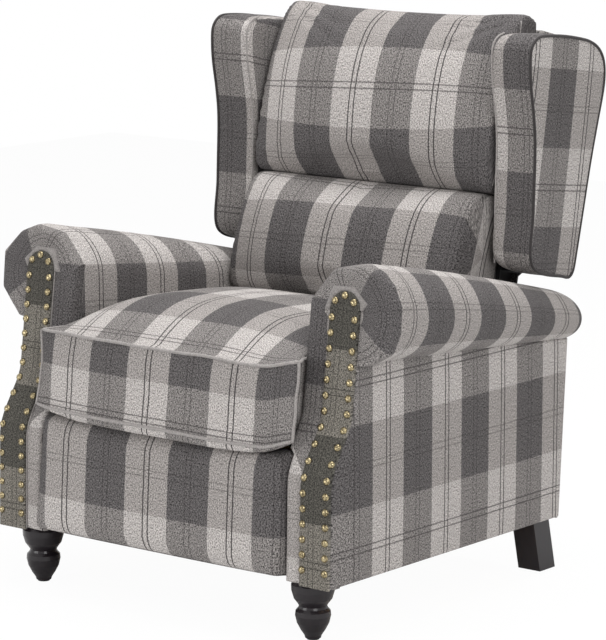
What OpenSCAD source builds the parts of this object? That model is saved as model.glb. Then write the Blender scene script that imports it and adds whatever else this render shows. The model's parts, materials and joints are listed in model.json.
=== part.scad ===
// Push-back wingback recliner with rolled arms, nailed facings and turned front legs.
// Millimetres. The floor is z = 0, the front faces -Y, and right is +X seen from the front.

/* [Base] */
// Height of the body's underside above the floor
leg_h = 95; // [85:1:105]
// Lower front plane of the arms
arm_front_y = -368; // [-390:1:-350]
// Depth of an arm along its underside
arm_len = 632; // [600:1:660]
// How far the arm's rear edge leans back at its top
arm_rake = 17; // [5:1:25]
// Width between the padded insides of the arms
gap_w = 500; // [490:1:520]
// Width of one arm across its upholstery
arm_w = 105; // [100:1:120]
// Thickness of the arm's outer casing
casing_t = 8; // [5:0.5:12]
// Padding beside the sitter
inner_pad_t = 20; // [18:0.5:24]
// How much thinner the inner padding is below the seat
low_recess = 12; // [10:0.5:14]
// Padding on the arm's front border
front_pad_t = 25; // [18:0.5:32]
// Width of the timber in the arm frames
arm_timber_w = 38; // [30:1:45]

/* [Arm front] */
// Front plane of the arm at face_top_z, where the scroll meets the facing
face_top_y = -292; // [-300:1:-280]
// Height where face_top_y is measured
face_top_z = 515; // [500:1:530]
// Height where the S-curve starts
curve_top_z = 366; // [350:1:380]
// Height where the S-curve ends
curve_low_z = 252; // [240:1:265]
// Width of the nailed facing strip
facing_w = 58; // [50:1:64]
// Thickness of the facing strip
facing_t = 6; // [4:0.5:8]
// Height of the top of the facing's arc
facing_top_z = 557; // [545:1:565]
// Margin between the facing and the arm's outer side
facing_margin = 1; // [1:0.5:3]
// Diameter of a nail head
nail_d = 10; // [8:0.5:11]
// Height of a nail head
nail_h = 4; // [3:0.5:5]
// Distance between nails down the facing
nail_pitch = 24.5; // [22:0.5:30]
// Distance from the facing's edge to a row of nails
nail_edge = 6.5; // [6:0.5:9]

/* [Arm roll] */
// Top of the roll at its front
roll_top_front_z = 600; // [590:1:610]
// Top of the roll at its rear
roll_top_rear_z = 480; // [470:1:490]
// Underside of the roll at its front
roll_under_front_z = 444; // [438:1:450]
// Underside of the roll at its rear
roll_under_rear_z = 396; // [390:1:402]
// How far the roll stands out beyond the arm at its front
roll_out_front = 66; // [55:1:75]
// How far the roll stands out beyond the arm at its rear
roll_out_rear = 26; // [18:1:34]
// How far the roll reaches behind the arm
roll_over = 14; // [8:1:18]
// Depth of the roll's rounded front edge
roll_edge = 14; // [10:1:20]

/* [Legs] */
// Widest diameter of a front leg
bun_d = 70; // [60:1:76]
// Distance from the middle of the chair to a front leg
front_leg_x = 292; // [285:1:300]
// Distance from the arm's lower front to a front leg's axis
front_leg_in = 36; // [36:1:44]
// Width of a rear leg
rear_leg_w = 45; // [40:1:48]
// Distance from the middle of the chair to a rear leg
rear_leg_x = 315; // [308:1:322]
// Distance from the arm's rear to a rear leg's middle, at its top
rear_leg_in = 30; // [28:1:36]
// How far a rear leg's foot is behind its top
rear_leg_rake = 22; // [10:1:30]
// Diameter of a leg stud
stud_d = 8; // [6:1:10]
// Length of a leg stud
stud_len = 60; // [50:1:70]
// Diameter of a foot glide
glide_d = 20; // [16:1:22]
// Height of a foot glide
glide_h = 2.5; // [2:0.5:4]

/* [Seat] */
// Gap between the seat cushion and each arm
cushion_gap = 3; // [1:0.5:6]
// Height of the cushion's lower seam above the floor
cushion_low_z = 307; // [304:1:310]
// Height of the cushion's front upper seam
cushion_top_z = 447; // [440:1:455]
// Height of the cushion's rear upper seam
cushion_rear_z = 418; // [410:1:424]
// Crown of the cushion above its seam
cushion_crown = 66; // [50:1:68]
// Half width across the ears at the cushion's front
ear_x = 280; // [270:1:288]
// Front of the cushion's corners at the upper seam
cushion_front_y = -350; // [-356:1:-344]
// How far the lower seam stands in front of the upper one
cushion_kick = 17; // [8:1:18]
// How far the front bows out in its middle
cushion_bow = 16; // [8:1:18]
// Distance from the cushion's rear to the recline pivot
cushion_rear_in = 95; // [90:1:105]
// How far the cushion's sides are drawn in between the seams
cushion_draw = 5; // [2:0.5:8]
// Height of the seat's timber rails
seat_rail_h = 56; // [50:1:60]
// Thickness of the seat's timber rails
seat_rail_t = 22; // [18:1:24]
// Front of the seat frame
seat_front_y = -301; // [-306:1:-298]
// Distance from the seat frame's rear to the rear of the arms
seat_rear_in = 104; // [100:1:112]
// Thickness of the seat deck
deck_t = 6.5; // [4:0.5:7]
// Wire diameter of the seat springs
wire_d = 4; // [3:0.5:4]

/* [Back] */
// Height of the recline pivot
pivot_z = 345; // [340:1:350]
// Distance from the recline pivot to the rear of the arms
pivot_in = 24; // [20:1:28]
// Lean of the upright back
back_lean_deg = 13; // [11:0.5:14]
// Full recline of the back
recline_deg = 35; // [30:1:36]
// Depth of the back posts in front of the pivot
post_front = 39; // [36:1:42]
// Depth of the back posts behind the pivot
post_rear = 10.5; // [10.5:0.5:12]
// Width of a back post
post_w = 22; // [20:1:24]
// How far the back posts reach below the pivot
post_low = 60; // [55:1:64]
// Thickness of the upholstered panel behind the back
back_panel_t = 8; // [5:0.5:10]
// Height above the pivot where the back widens to meet the wings
shoulder_w = 166; // [163:1:170]
// Foot of the lumbar pillow above the pivot
lumbar_low = 72; // [72:1:80]
// Height of the lumbar pillow
lumbar_h = 216; // [200:1:218]
// Thickness of the lumbar pillow
lumbar_t = 132; // [120:1:134]
// Half width of the lumbar pillow
lumbar_x = 245; // [235:1:247]
// Height of the head pillow
head_h = 310; // [295:1:315]
// Thickness of the head pillow
head_t = 95; // [80:1:100]
// Half width of the head pillow
head_x = 258; // [250:1:260]

/* [Wings] */
// Inner face of a wing, from the middle of the chair
wing_x = 262.5; // [262:0.5:268]
// Thickness of a wing
wing_t = 82; // [74:1:90]
// Bottom of the wing above the pivot
wing_low = 162; // [162:1:170]
// Height of the wing
wing_h = 408; // [390:1:415]
// Depth of the wing at its widest
wing_d = 214; // [200:1:225]
// How far the wing's rear edge is behind the pivot
wing_rear = 29; // [24:1:32]
// Thickness of the timber inside a wing
wing_timber_t = 22; // [18:1:26]

/* [Footrest] */
// Half width of the footrest
footrest_x = 258; // [250:1:259]
// Height of the footrest
footrest_h = 199; // [190:1:200]
// Thickness of the footrest across its padding
footrest_t = 45; // [40:1:48]
// Thickness of the footrest's board
board_t = 12; // [9:1:15]
// Lower rear edge of the footrest
footrest_y = -344; // [-347:1:-341]
// Gap between the footrest and the cushion's underside
footrest_gap = 8; // [6:1:12]
// How far the upright footrest tilts back at its top
footrest_lean_deg = 6.8; // [5:0.2:8]

/* [Mechanism] */
// Thickness of the steel plates and links
plate_t = 3; // [2:0.5:4]
// Space between neighbouring layers of links
layer_gap = 3; // [2:0.5:4]
// Width of a link
link_w = 18; // [16:1:20]
// Width of a control link
control_w = 15; // [12:1:16]
// Pivot to pivot length of the swing links
link_len = 168; // [160:1:170]
// Distance between the two swing links' pivots
link_gap = 55; // [50:1:60]
// Offset of the control link along the front link
control_gap = 40; // [38:1:44]
// Rear swing link's pivot, from the middle of the chair
link_y = -150; // [-155:1:-145]
// Height of the swing links' pivots
link_z = 250; // [248:1:252]
// Footrest pivot, from the middle of the chair
foot_pivot_y = -290; // [-292:1:-286]
// Height of the footrest pivot
foot_pivot_z = 190; // [186:1:194]
// Angle of the swing links at rest, from straight ahead
link_rest_deg = -120; // [-122:1:-116]
// Swing of the links when the footrest opens
swing_deg = 100; // [90:1:102]
// Forward travel of the seat
seat_travel = 46; // [40:1:48]
// Diameter of the rivets
rivet_d = 8; // [7:0.5:9]
// Diameter of the recline pivot bolts
pivot_d = 10; // [8:0.5:12]
// Radial running clearance of the rivets and bolts
run_gap = 0.06; // [0.03:0.01:0.1]
// Radial clearance of the linkage's open pivots
open_gap = 0.5; // [0.3:0.1:0.8]
// Height of the slide channel
channel_h = 30; // [28:1:32]
// Wall of the slide channel
channel_t = 2.5; // [2:0.5:3]

/* [Hidden] */
$fn = 48;
// Overrun of every cut
over = 1;
// Clearance of a soft piece from its neighbour
soft_gap = 0.3;
// Clearance of a piece held inside another
seat_gap = 0.2;
// Clearance between the seat's steel and the slide channel
slide_gap = 0.4;

inner_x = gap_w / 2;
low_inner_x = inner_x + low_recess;
core_x = inner_x + inner_pad_t;
outer_x = inner_x + arm_w;
core_w = outer_x - casing_t - core_x;
arm_rear_y = arm_front_y + arm_len;
arm_top_rear_y = arm_rear_y + arm_rake;
seat_rear_y = arm_rear_y - seat_rear_in;
pivot_y = arm_rear_y - pivot_in;
cushion_rear_y = pivot_y - cushion_rear_in;
post_high = wing_low + wing_h + over;
footrest_z = cushion_low_z - footrest_gap - footrest_h;
roll_rear_y = arm_top_rear_y + roll_over;
deck_top_z = cushion_low_z - soft_gap;
deck_z = deck_top_z - deck_t;
rail_top_z = deck_z - plate_t;
rail_z = rail_top_z - seat_rail_h;
split_z = cushion_low_z - soft_gap;

// Arm outline
face_slope_share = 0.129;
low_slope_share = 0.023;
curve_n = 9;
function mix(a, b, t) = a + (b - a) * t;
function ease(t) = t * t * (3 - 2 * t);
function clamp(t) = min(1, max(0, t));
function upper_front(z) = face_top_y - face_slope_share * (face_top_z - z);
function lower_front(z) = arm_front_y + low_slope_share * (z - leg_h);
function curve_share(z) = ease(clamp((curve_top_z - z) / (curve_top_z - curve_low_z)));
function front_y(z) = mix(upper_front(z), lower_front(z), curve_share(z));
function under_z(y) = mix(roll_under_front_z, roll_under_rear_z,
    max(0, (y - face_top_y) / (arm_top_rear_y - face_top_y)));
function rear_y(z) = arm_rear_y
    + arm_rake * (z - leg_h) / (roll_under_rear_z - leg_h);
curve_zs = [for (i = [0:curve_n]) mix(curve_low_z, curve_top_z, i / curve_n)];
front_zs = concat(leg_h, [for (z = curve_zs) if (z < split_z) z], split_z,
    [for (z = curve_zs) if (z > split_z) z]);
// Front edge from low to high, moved back by a depth
function front_run(depth, top) = [for (z = front_zs) if (z < top) [front_y(z) + depth, z]];
function front_edge(depth, top) = concat(front_run(depth, top), [[front_y(top) + depth, top]]);
function high_end(depth) = let (y = front_y(roll_under_front_z) + depth) [y, under_z(y)];

// Draws a side outline, given as [y, z] points, between two distances from the middle
module side(x, t) translate([x, 0, 0]) rotate([90, 0, 90]) linear_extrude(t) children();
// Round bar across the chair, from x over a length
module cross_rod(x, len, p, d) translate([x, p.x, p.y]) rotate([0, 90, 0]) cylinder(d = d, h = len);
module both_sides() {
    children();
    mirror([1, 0, 0]) children();
}
module left() mirror([1, 0, 0]) children();
// Box between two corners
module block(a, b) translate(a) cube(b - a);

// Skins a stack of rings that have equally many points, which run clockwise seen from the
// stack's start; a stack the other way round is turned first
function flat(l) = [for (a = l) each a];
function middle(r) = [for (k = [0:2]) sum([for (p = r) p[k]]) / len(r)];
function sum(v, i = 0) = i < len(v) ? v[i] + sum(v, i + 1) : 0;
function turned(rings) = [for (i = [len(rings) - 1:-1:0]) rings[i]];
module skin(rings) {
    n = len(rings[0]);
    m = len(rings);
    points = concat(flat(rings), [middle(rings[0]), middle(rings[m - 1])]);
    walls = [for (i = [0:m - 2], j = [0:n - 1]) let (a = i * n + j, b = i * n + (j + 1) % n)
        each [[a, a + n, b], [b, a + n, b + n]]];
    low_cap = [for (j = [0:n - 1]) [m * n, j, (j + 1) % n]];
    high_cap = [for (j = [0:n - 1]) [m * n + 1, (m - 1) * n + (j + 1) % n, (m - 1) * n + j]];
    polyhedron(points, concat(walls, low_cap, high_cap), convexity = 6);
}

// Arm
module arm_frame() color("burlywood") difference() {
    top = roll_under_front_z;
    rear_in = arm_rear_y - casing_t;
    side(core_x, core_w) difference() {
        polygon(concat(front_run(front_pad_t, top - arm_timber_w), [high_end(front_pad_t)],
            [[rear_y(roll_under_rear_z) - casing_t, under_z(rear_y(roll_under_rear_z) - casing_t)],
                [rear_in, leg_h]]));
        translate([0, leg_h + arm_timber_w]) difference() {
            front_in = front_y(top) + front_pad_t + arm_timber_w;
            rear_room = rear_in - arm_timber_w;
            polygon([[front_in, 0], [rear_room, 0],
                [rear_room, under_z(rear_room) - leg_h - 2 * arm_timber_w],
                [front_in, under_z(front_in) - leg_h - 2 * arm_timber_w]]);
        }
    }
    for (p = base_bolt_places) cross_rod(core_x - over, bolt_len, p, stud_d);
    cross_rod(core_x - over, pivot_len, pivot, pivot_d);
    leg_stud_holes();
}
module leg_stud_holes() for (p = [front_leg_p, rear_leg_p])
    translate([p.x, p.y, leg_h - over]) cylinder(d = stud_d, h = stud_len / 2 + over);
module arm_frame_right() arm_frame();
module arm_frame_left() left() arm_frame();

module arm_outer_panel() color("dimgray") {
    top_y = arm_top_rear_y;
    side(outer_x - casing_t, casing_t) polygon(concat(front_edge(0, roll_under_front_z),
        [[top_y, roll_under_rear_z], [arm_rear_y, leg_h]]));
    side(core_x, core_w) polygon([[arm_rear_y - casing_t, leg_h], [arm_rear_y, leg_h],
        [top_y, roll_under_rear_z], [top_y - casing_t, under_z(top_y - casing_t)]]);
}
module arm_outer_panel_right() arm_outer_panel();
module arm_outer_panel_left() left() arm_outer_panel();

module arm_inner_panel() color("gray") difference() {
    union() {
        side(low_inner_x, inner_pad_t - low_recess) polygon(concat(
            front_edge(front_pad_t, split_z), [[rear_y(split_z), split_z], [arm_rear_y, leg_h]]));
        side(inner_x, inner_pad_t) polygon(concat([for (z = front_zs) if (z > split_z)
            [front_y(z) + front_pad_t, z]], [high_end(front_pad_t)],
            [[arm_top_rear_y, roll_under_rear_z], [rear_y(split_z), split_z],
                [front_y(split_z) + front_pad_t, split_z]]));
    }
    for (p = base_bolt_places) cross_rod(inner_x - over, inner_pad_t + 2 * over, p, stud_d);
    cross_rod(inner_x - over, inner_pad_t + 2 * over, pivot, pivot_d);
}
module arm_inner_panel_right() arm_inner_panel();
module arm_inner_panel_left() left() arm_inner_panel();

module arm_front_panel() color("darkgray") {
    low = front_edge(0, split_z);
    low_back = front_edge(front_pad_t, split_z);
    high_zs = concat(split_z, [for (z = front_zs) if (z > split_z) z]);
    side(low_inner_x, outer_x - casing_t - low_inner_x) polygon(concat(low,
        [for (i = [len(low_back) - 1:-1:0]) low_back[i]]));
    side(inner_x, outer_x - casing_t - inner_x) polygon(concat(
        [for (z = high_zs) [front_y(z), z]], [high_end(0), high_end(front_pad_t)],
        [for (i = [len(high_zs) - 1:-1:0]) [front_y(high_zs[i]) + front_pad_t, high_zs[i]]]));
}
module arm_front_panel_right() arm_front_panel();
module arm_front_panel_left() left() arm_front_panel();

// Scroll of the arm, tapering to the rear
roll_taper = 1.2;
roll_side_n = 20;
roll_start_deg = -75;
roll_edge_share = 0.9;
roll_station_shares = [0.08, 0.2, 0.35, 0.5, 0.65, 0.8, 0.93];
roll_end_share = 0.82;
function roll_t(y) = clamp((y - face_top_y) / (roll_rear_y - face_top_y));
function roll_top(y) = mix(roll_top_front_z, roll_top_rear_z, pow(roll_t(y), roll_taper));
function roll_out(y) = outer_x + mix(roll_out_front, roll_out_rear, roll_t(y));
// One section as [x, z] points, drawn in towards its middle by a share
function roll_section(y, share) = let (
    cx = (roll_out(y) + inner_x) / 2, cz = (roll_top(y) + under_z(y)) / 2,
    rx = roll_out(y) - cx, rz = roll_top(y) - cz,
    arc = [for (i = [0:roll_side_n]) let (a = mix(roll_start_deg, 180, i / roll_side_n))
        [cx + share * rx * cos(a), cz + share * rz * sin(a)]])
    concat(arc, [[cx - share * rx, under_z(y)], [cx + share * rx * cos(roll_start_deg), under_z(y)]]);
function roll_ring(y, share) = [for (p = roll_section(y, share)) [p.x, y, p.y]];
// Front rings lie in the slanted front plane of the arm
function roll_front_ring(depth, share) =
    [for (p = roll_section(face_top_y, share)) [p.x, upper_front(p.y) + depth, p.y]];
module arm_roll() color("gray") skin(turned(concat(
    [roll_front_ring(0, roll_edge_share), roll_front_ring(roll_edge, 1)],
    [for (s = roll_station_shares) roll_ring(mix(face_top_y, roll_rear_y, s), 1)],
    [roll_ring(roll_rear_y, roll_end_share)])));
module arm_roll_right() arm_roll();
module arm_roll_left() left() arm_roll();

// Nailed facing: the arm's front curve, cut to a strip with a round top
facing_x = outer_x - facing_margin - facing_w;
facing_r = facing_w / 2;
facing_mid_x = facing_x + facing_r;
module arm_facing() color("darkolivegreen") intersection() {
    side(facing_x, facing_w) polygon(concat(front_edge(-facing_t, facing_top_z),
        [[front_y(facing_top_z), facing_top_z]],
        [for (i = [len(front_zs) - 1:-1:0]) [front_y(front_zs[i]), front_zs[i]]]));
    translate([0, face_top_y, 0]) rotate([90, 0, 0]) linear_extrude(arm_len / 2, center = true) {
        translate([facing_x, leg_h]) square([facing_w, facing_top_z - facing_r - leg_h]);
        translate([facing_mid_x, facing_top_z - facing_r]) circle(facing_r);
    }
}
module arm_facing_right() arm_facing();
module arm_facing_left() left() arm_facing();

// Nails run up both edges of the facing and over its arc
nail_profile_shares = [[0, 0], [1, 0], [0.92, 0.42], [0.7, 0.75], [0.38, 0.95], [0, 1]];
nail_lift = 0.6;
nail_reach = facing_r - nail_edge;
arc_z = facing_top_z - facing_r;
nail_row_n = floor((arc_z - leg_h - nail_pitch / 2) / nail_pitch);
arc_nail_degs = [35, 90, 145];
function front_tilt(z) = atan2(front_y(z + nail_h) - front_y(z - nail_h), 2 * nail_h);
module nail(x, z) translate([x, front_y(z), z]) rotate([90 - front_tilt(z), 0, 0])
    translate([0, 0, facing_t * cos(front_tilt(z)) + nail_lift]) rotate_extrude($fn = 20)
        polygon([for (p = nail_profile_shares) [p.x * nail_d / 2, p.y * nail_h]]);
module facing_nails() color("darkgoldenrod") {
    for (i = [0:nail_row_n], s = [-1, 1])
        nail(facing_mid_x + s * nail_reach, arc_z - i * nail_pitch);
    for (a = arc_nail_degs)
        nail(facing_mid_x + nail_reach * cos(a), arc_z + nail_reach * sin(a));
}
module facing_nails_right() facing_nails();
module facing_nails_left() left() facing_nails();

// Legs
front_leg_p = [front_leg_x, arm_front_y + front_leg_in];
rear_leg_p = [rear_leg_x, arm_rear_y - rear_leg_in];
bun_profile_shares = [[0.9, 1], [1, 0.95], [0.99, 0.84], [0.88, 0.7], [0.7, 0.61],
    [0.64, 0.57], [0.68, 0.53], [0.8, 0.48], [0.82, 0.4], [0.74, 0.27], [0.56, 0.14],
    [0.4, 0.05], [0.36, 0]];
module front_leg() color("#221c20") difference() {
    translate([front_leg_p.x, front_leg_p.y, glide_h]) rotate_extrude() polygon(concat([[0, 0]],
        [for (i = [len(bun_profile_shares) - 1:-1:0])
            [bun_profile_shares[i].x * bun_d / 2, bun_profile_shares[i].y * (leg_h - glide_h)]],
        [[0, leg_h - glide_h]]));
    leg_bore(front_leg_p);
}
module leg_bore(p) translate([p.x, p.y, leg_h - stud_len / 2])
    cylinder(d = stud_d, h = stud_len);
module rear_leg() color("#221c20") difference() {
    side(rear_leg_p.x - rear_leg_w / 2, rear_leg_w) polygon([
        for (s = [[-1, leg_h], [1, leg_h]]) [rear_leg_p.y + s.x * rear_leg_w / 2, s.y],
        for (s = [[1, glide_h], [-1, glide_h]])
            [rear_leg_p.y + rear_leg_rake + s.x * rear_leg_w / 2, s.y]]);
    leg_bore(rear_leg_p);
}
module front_leg_right() front_leg();
module front_leg_left() left() front_leg();
module rear_leg_right() rear_leg();
module rear_leg_left() left() rear_leg();
module leg_studs() color("silver") both_sides() for (p = [front_leg_p, rear_leg_p])
    translate([p.x, p.y, leg_h - stud_len / 2]) cylinder(d = stud_d, h = stud_len);
module foot_glides() color("#303030") both_sides()
    for (p = [front_leg_p, rear_leg_p + [0, rear_leg_rake]])
        translate([p.x, p.y, 0]) cylinder(d = glide_d, h = glide_h);

// Side layers, from the arm towards the middle
base_plate_x = low_inner_x - plate_t;
slide_room = 7;
seat_plate_x = inner_x - slide_room - plate_t;
link_x = seat_plate_x - layer_gap - plate_t;
bar_x = link_x - layer_gap - plate_t;
drive_x = bar_x - layer_gap - plate_t;
rail_out_x = drive_x - 2 * plate_t + over;

// Mechanism positions in side view, as [y, z]
pivot = [pivot_y, pivot_z];
function toward(a) = [-cos(a), sin(a)];
rear_pivot = [link_y, link_z];
front_pivot = [link_y - link_gap, link_z];
rear_end = rear_pivot + link_len * toward(link_rest_deg);
front_end = front_pivot + link_len * toward(link_rest_deg);
control_end = front_pivot + (link_len - control_gap) * toward(link_rest_deg);
foot_pivot = [foot_pivot_y, foot_pivot_z];
foot_control = foot_pivot - control_gap * toward(link_rest_deg);
crank_len = seat_travel / (2 * sin(swing_deg / 2));
crank_pin = rear_pivot + crank_len * toward(90 - swing_deg / 2);
// Pin below the recline pivot that pushes the seat forward
push_rear_deg = 4;
push_len = seat_travel / (sin(recline_deg - push_rear_deg) + sin(push_rear_deg));
push_pin = pivot + push_len * [sin(push_rear_deg), -cos(push_rear_deg)];
crank_slot_gap = 1.7;
push_slot_gap = 1.3;

// Flat bar between two points, and a slot cut upright through a side plate
bar_body_share = 0.95;
module bar2d(p, q, w) {
    body_w = w * bar_body_share;
    translate(p) rotate(atan2(q.y - p.y, q.x - p.x)) translate([0, -body_w / 2])
        square([norm(q - p), body_w]);
    translate(p) circle(d = w);
    translate(q) circle(d = w);
}
module slot2d(p, w, low, high) bar2d(p - [0, low], p + [0, high], w);
module hole2d(p, gap) translate(p) circle(d = rivet_d + 2 * gap);

// Base steel and timber
base_plate_low = 55;
base_plate_high = 38;
base_plate_reach = 106;
bolt_in = 20;
bolt_drop = 35;
bolt_head_d = 14;
bolt_head_h = 5;
bolt_len = inner_pad_t + arm_timber_w;
base_plate_y = arm_front_y + base_plate_reach;
base_bolt_places = [for (y = [base_plate_y + bolt_in / 2, arm_rear_y - casing_t - bolt_in],
    z = [leg_h + base_plate_low + bolt_in, leg_h + base_plate_low + bolt_in + bolt_drop]) [y, z]];
module base_plates() color("#404040") both_sides() side(base_plate_x, plate_t) difference() {
    translate([base_plate_y, leg_h + base_plate_low]) square([arm_rear_y - casing_t - base_plate_y,
        link_z + base_plate_high - leg_h - base_plate_low]);
    for (p = base_bolt_places) translate(p) circle(d = stud_d);
}
module base_bolts() color("silver") both_sides() for (p = base_bolt_places) {
    cross_rod(base_plate_x, bolt_len, p, stud_d);
    cross_rod(base_plate_x - bolt_head_h, bolt_head_h, p, bolt_head_d);
}

// Slide channel, open towards the middle
channel_side_gap = 1.5;
channel_rise = 8;
channel_start = 22;
channel_rear_gap = 21;
base_rail_t = 22;
apron_t = 6;
channel_x = seat_plate_x + plate_t + channel_side_gap;
channel_mid_z = link_z + channel_rise;
channel_y = base_plate_y + channel_start;
channel_len = arm_rear_y - apron_t - base_rail_t - channel_rear_gap - channel_y;
module slide_channels() color("#505050") both_sides() translate([0, channel_y, channel_mid_z])
    rotate([-90, 0, 0]) linear_extrude(channel_len) difference() {
        translate([channel_x, -channel_h / 2]) square([base_plate_x - channel_x, channel_h]);
        translate([channel_x - over, -channel_h / 2 + channel_t])
            square([base_plate_x - channel_x - channel_t + over, channel_h - 2 * channel_t]);
    }
block_len = 50;
block_front = 45;
block_rear = 20;
block_ys = [channel_y + seat_travel + block_front,
    channel_y + channel_len - block_len - block_rear];
module slide_blocks() color("ivory") both_sides() for (y = block_ys)
    translate([seat_plate_x + plate_t, y, channel_mid_z - channel_h / 2 + channel_t + slide_gap])
        cube([base_plate_x - channel_t - slide_gap - seat_plate_x - plate_t, block_len,
            channel_h - 2 * channel_t - 2 * slide_gap]);

middle_rail_h = 48;
middle_rail_back = 28;
base_rail_rise = 17;
middle_rail_y = rear_end.x + middle_rail_back;
middle_rail_z = leg_h + base_rail_rise;
module middle_rail() color("burlywood")
    translate([-base_plate_x, middle_rail_y, middle_rail_z])
        cube([2 * base_plate_x, base_rail_t, middle_rail_h]);
rear_rail_h = 50;
apron_top = 272;
module rear_rail() color("burlywood")
    translate([-base_plate_x, arm_rear_y - apron_t - base_rail_t, middle_rail_z])
        cube([2 * base_plate_x, base_rail_t, rear_rail_h]);
module rear_apron() color("dimgray")
    translate([-low_inner_x + seat_gap, arm_rear_y - apron_t, leg_h])
        cube([2 * (low_inner_x - seat_gap), apron_t, apron_top - leg_h]);

// Plates on the middle rail, with the upright slots that turn the rear links
drive_arm_h = 42;
drive_neck = 22;
drive_nose = 18;
drive_top = rail_top_z - over;
module drive_brackets() color("#484848") both_sides() {
    side(drive_x, plate_t) difference() {
        union() {
            translate([middle_rail_y, middle_rail_z + middle_rail_h])
                square([drive_neck, drive_top - middle_rail_z - middle_rail_h]);
            translate([crank_pin.x - drive_nose, drive_top - drive_arm_h])
                square([middle_rail_y + drive_neck - crank_pin.x + drive_nose, drive_arm_h]);
        }
        slot2d(crank_pin, rivet_d + 2 * crank_slot_gap, 2 * plate_t, rivet_d + plate_t);
    }
    block([drive_x - drive_neck, middle_rail_y, middle_rail_z + middle_rail_h],
        [drive_x, middle_rail_y + drive_neck, middle_rail_z + middle_rail_h + plate_t]);
}

// Recline pivot bolts, from the bracket into the arm frame
bracket_t = 4;
post_out_x = link_x - over;
bracket_x = post_out_x;
pivot_head_d = 18;
pivot_head_h = 6;
pivot_head_x = bracket_x - pivot_head_h - seat_gap;
pocket_gap = 3;
pivot_len = 60;
pivot_end_x = inner_x + pivot_len - over;
module pivot_bolts() color("silver") both_sides() {
    cross_rod(pivot_head_x, pivot_end_x - pivot_head_x, pivot, pivot_d);
    cross_rod(pivot_head_x, pivot_head_h, pivot, pivot_head_d);
    sleeve_x = bracket_x + bracket_t + seat_gap;
    cross_rod(sleeve_x, inner_x - sleeve_x, pivot, pivot_head_d);
}

// Seat frame
rail_in_x = rail_out_x - seat_rail_t;
module seat_side_rails() color("burlywood") both_sides()
    block([rail_in_x, seat_front_y + seat_rail_t, rail_z],
        [rail_out_x, seat_rear_y - seat_rail_t, rail_top_z]);
module cross_rail(y) color("burlywood")
    translate([-rail_out_x, y, rail_z]) cube([2 * rail_out_x, seat_rail_t, seat_rail_h]);
module seat_front_rail() cross_rail(seat_front_y);
module seat_rear_rail() cross_rail(seat_rear_y - seat_rail_t);
module seat_deck() color("#2a2a2a")
    block([-seat_plate_x - plate_t, seat_front_y, deck_z],
        [seat_plate_x + plate_t, seat_rear_y, deck_top_z]);

// Zigzag springs between the front and rear rails
spring_wave_n = 12;
spring_step_n = 4;
spring_sides = 6;
spring_half = 22;
spring_xs_share = [-0.78, -0.26, 0.26, 0.78];
spring_z = rail_top_z - wire_d;
spring_y0 = seat_front_y + seat_rail_t + seat_gap;
spring_y1 = seat_rear_y - seat_rail_t - seat_gap;
function spring_p(k) = let (n = spring_wave_n * spring_step_n, t = k / n)
    [spring_half * sin(180 * spring_wave_n * t), mix(spring_y0, spring_y1, t), spring_z];
function spring_ring(k) = let (d = spring_p(k + 0.5) - spring_p(k - 0.5), u = d / norm(d),
    v = [-u.y, u.x, 0], p = spring_p(k), r = wire_d / 2)
    [for (j = [0:spring_sides - 1]) let (a = 360 * j / spring_sides)
        p + r * (cos(a) * v + [0, 0, sin(a)])];
module seat_springs() color("silver") both_sides() for (s = spring_xs_share) if (s > 0)
    translate([s * (rail_in_x - spring_half - wire_d), 0, 0]) skin([
        for (k = [0:spring_wave_n * spring_step_n])
            k == 0 || k == spring_wave_n * spring_step_n
                ? spring_end_ring(k) : spring_ring(k)]);
function spring_end_ring(k) = let (p = spring_p(k), r = wire_d / 2)
    [for (j = [0:spring_sides - 1]) let (a = 360 * j / spring_sides)
        p + r * [-cos(a), 0, sin(a)]];
clip_w = 18;
clip_d = 14;
module spring_clips() color("silver") for (s = spring_xs_share)
    for (y = [seat_front_y + seat_rail_t - clip_d, seat_rear_y - seat_rail_t])
        translate([s * (rail_in_x - spring_half - wire_d) - clip_w / 2, y, rail_top_z])
            cube([clip_w, clip_d, (deck_z - rail_top_z) / 2]);

// Box cushion with ears in front of the arms
body_x = inner_x - cushion_gap;
front_n = 12;
side_n = 8;
cushion_corner = 14;
cushion_rear_corner = 40;
corner_n = 3;
cushion_mid_y = (cushion_front_y + cushion_rear_y) / 2;
function seam_z(y) = mix(cushion_top_z, cushion_rear_z,
    clamp((y - cushion_front_y) / (cushion_rear_y - cushion_front_y)));
// Right half of the outline at a height, from the front middle to the rear middle
function cushion_half(z, draw) = let (
    t = clamp((cushion_top_z - z) / (cushion_top_z - cushion_low_z)),
    fy = cushion_front_y - cushion_kick * t + draw,
    ear_back = min(front_y(z), front_y(cushion_top_z)) - cushion_gap,
    hx = ear_x - draw, bx = body_x - draw, r = cushion_corner, q = cushion_rear_corner)
    concat(
        [for (i = [0:front_n]) let (x = (hx - r) * i / front_n)
            [x, fy - cushion_bow * (1 - pow(x / hx, 2))]],
        [for (i = [1:corner_n]) let (a = 90 * i / corner_n)
            [hx - r + r * sin(a), fy + (r - r * cos(a)) * min(1, (ear_back - fy) / (2 * r))]],
        [[hx, ear_back - draw], [bx, ear_back - draw]],
        [for (i = [1:side_n]) [bx, mix(ear_back, cushion_rear_y - q, i / side_n)]],
        [for (i = [1:corner_n]) let (a = 90 * i / corner_n)
            [bx - q + q * cos(a), cushion_rear_y - draw - q + q * sin(a)]],
        [for (i = [1:front_n / 2]) [(bx - q) * (1 - 2 * i / front_n), cushion_rear_y - draw]]);
function whole(half) = concat(half, [for (i = [len(half) - 2:-1:1]) [-half[i].x, half[i].y]]);
function cushion_ring(z, draw) = [for (p = whole(cushion_half(z, draw))) [p.x, p.y, z]];
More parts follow.
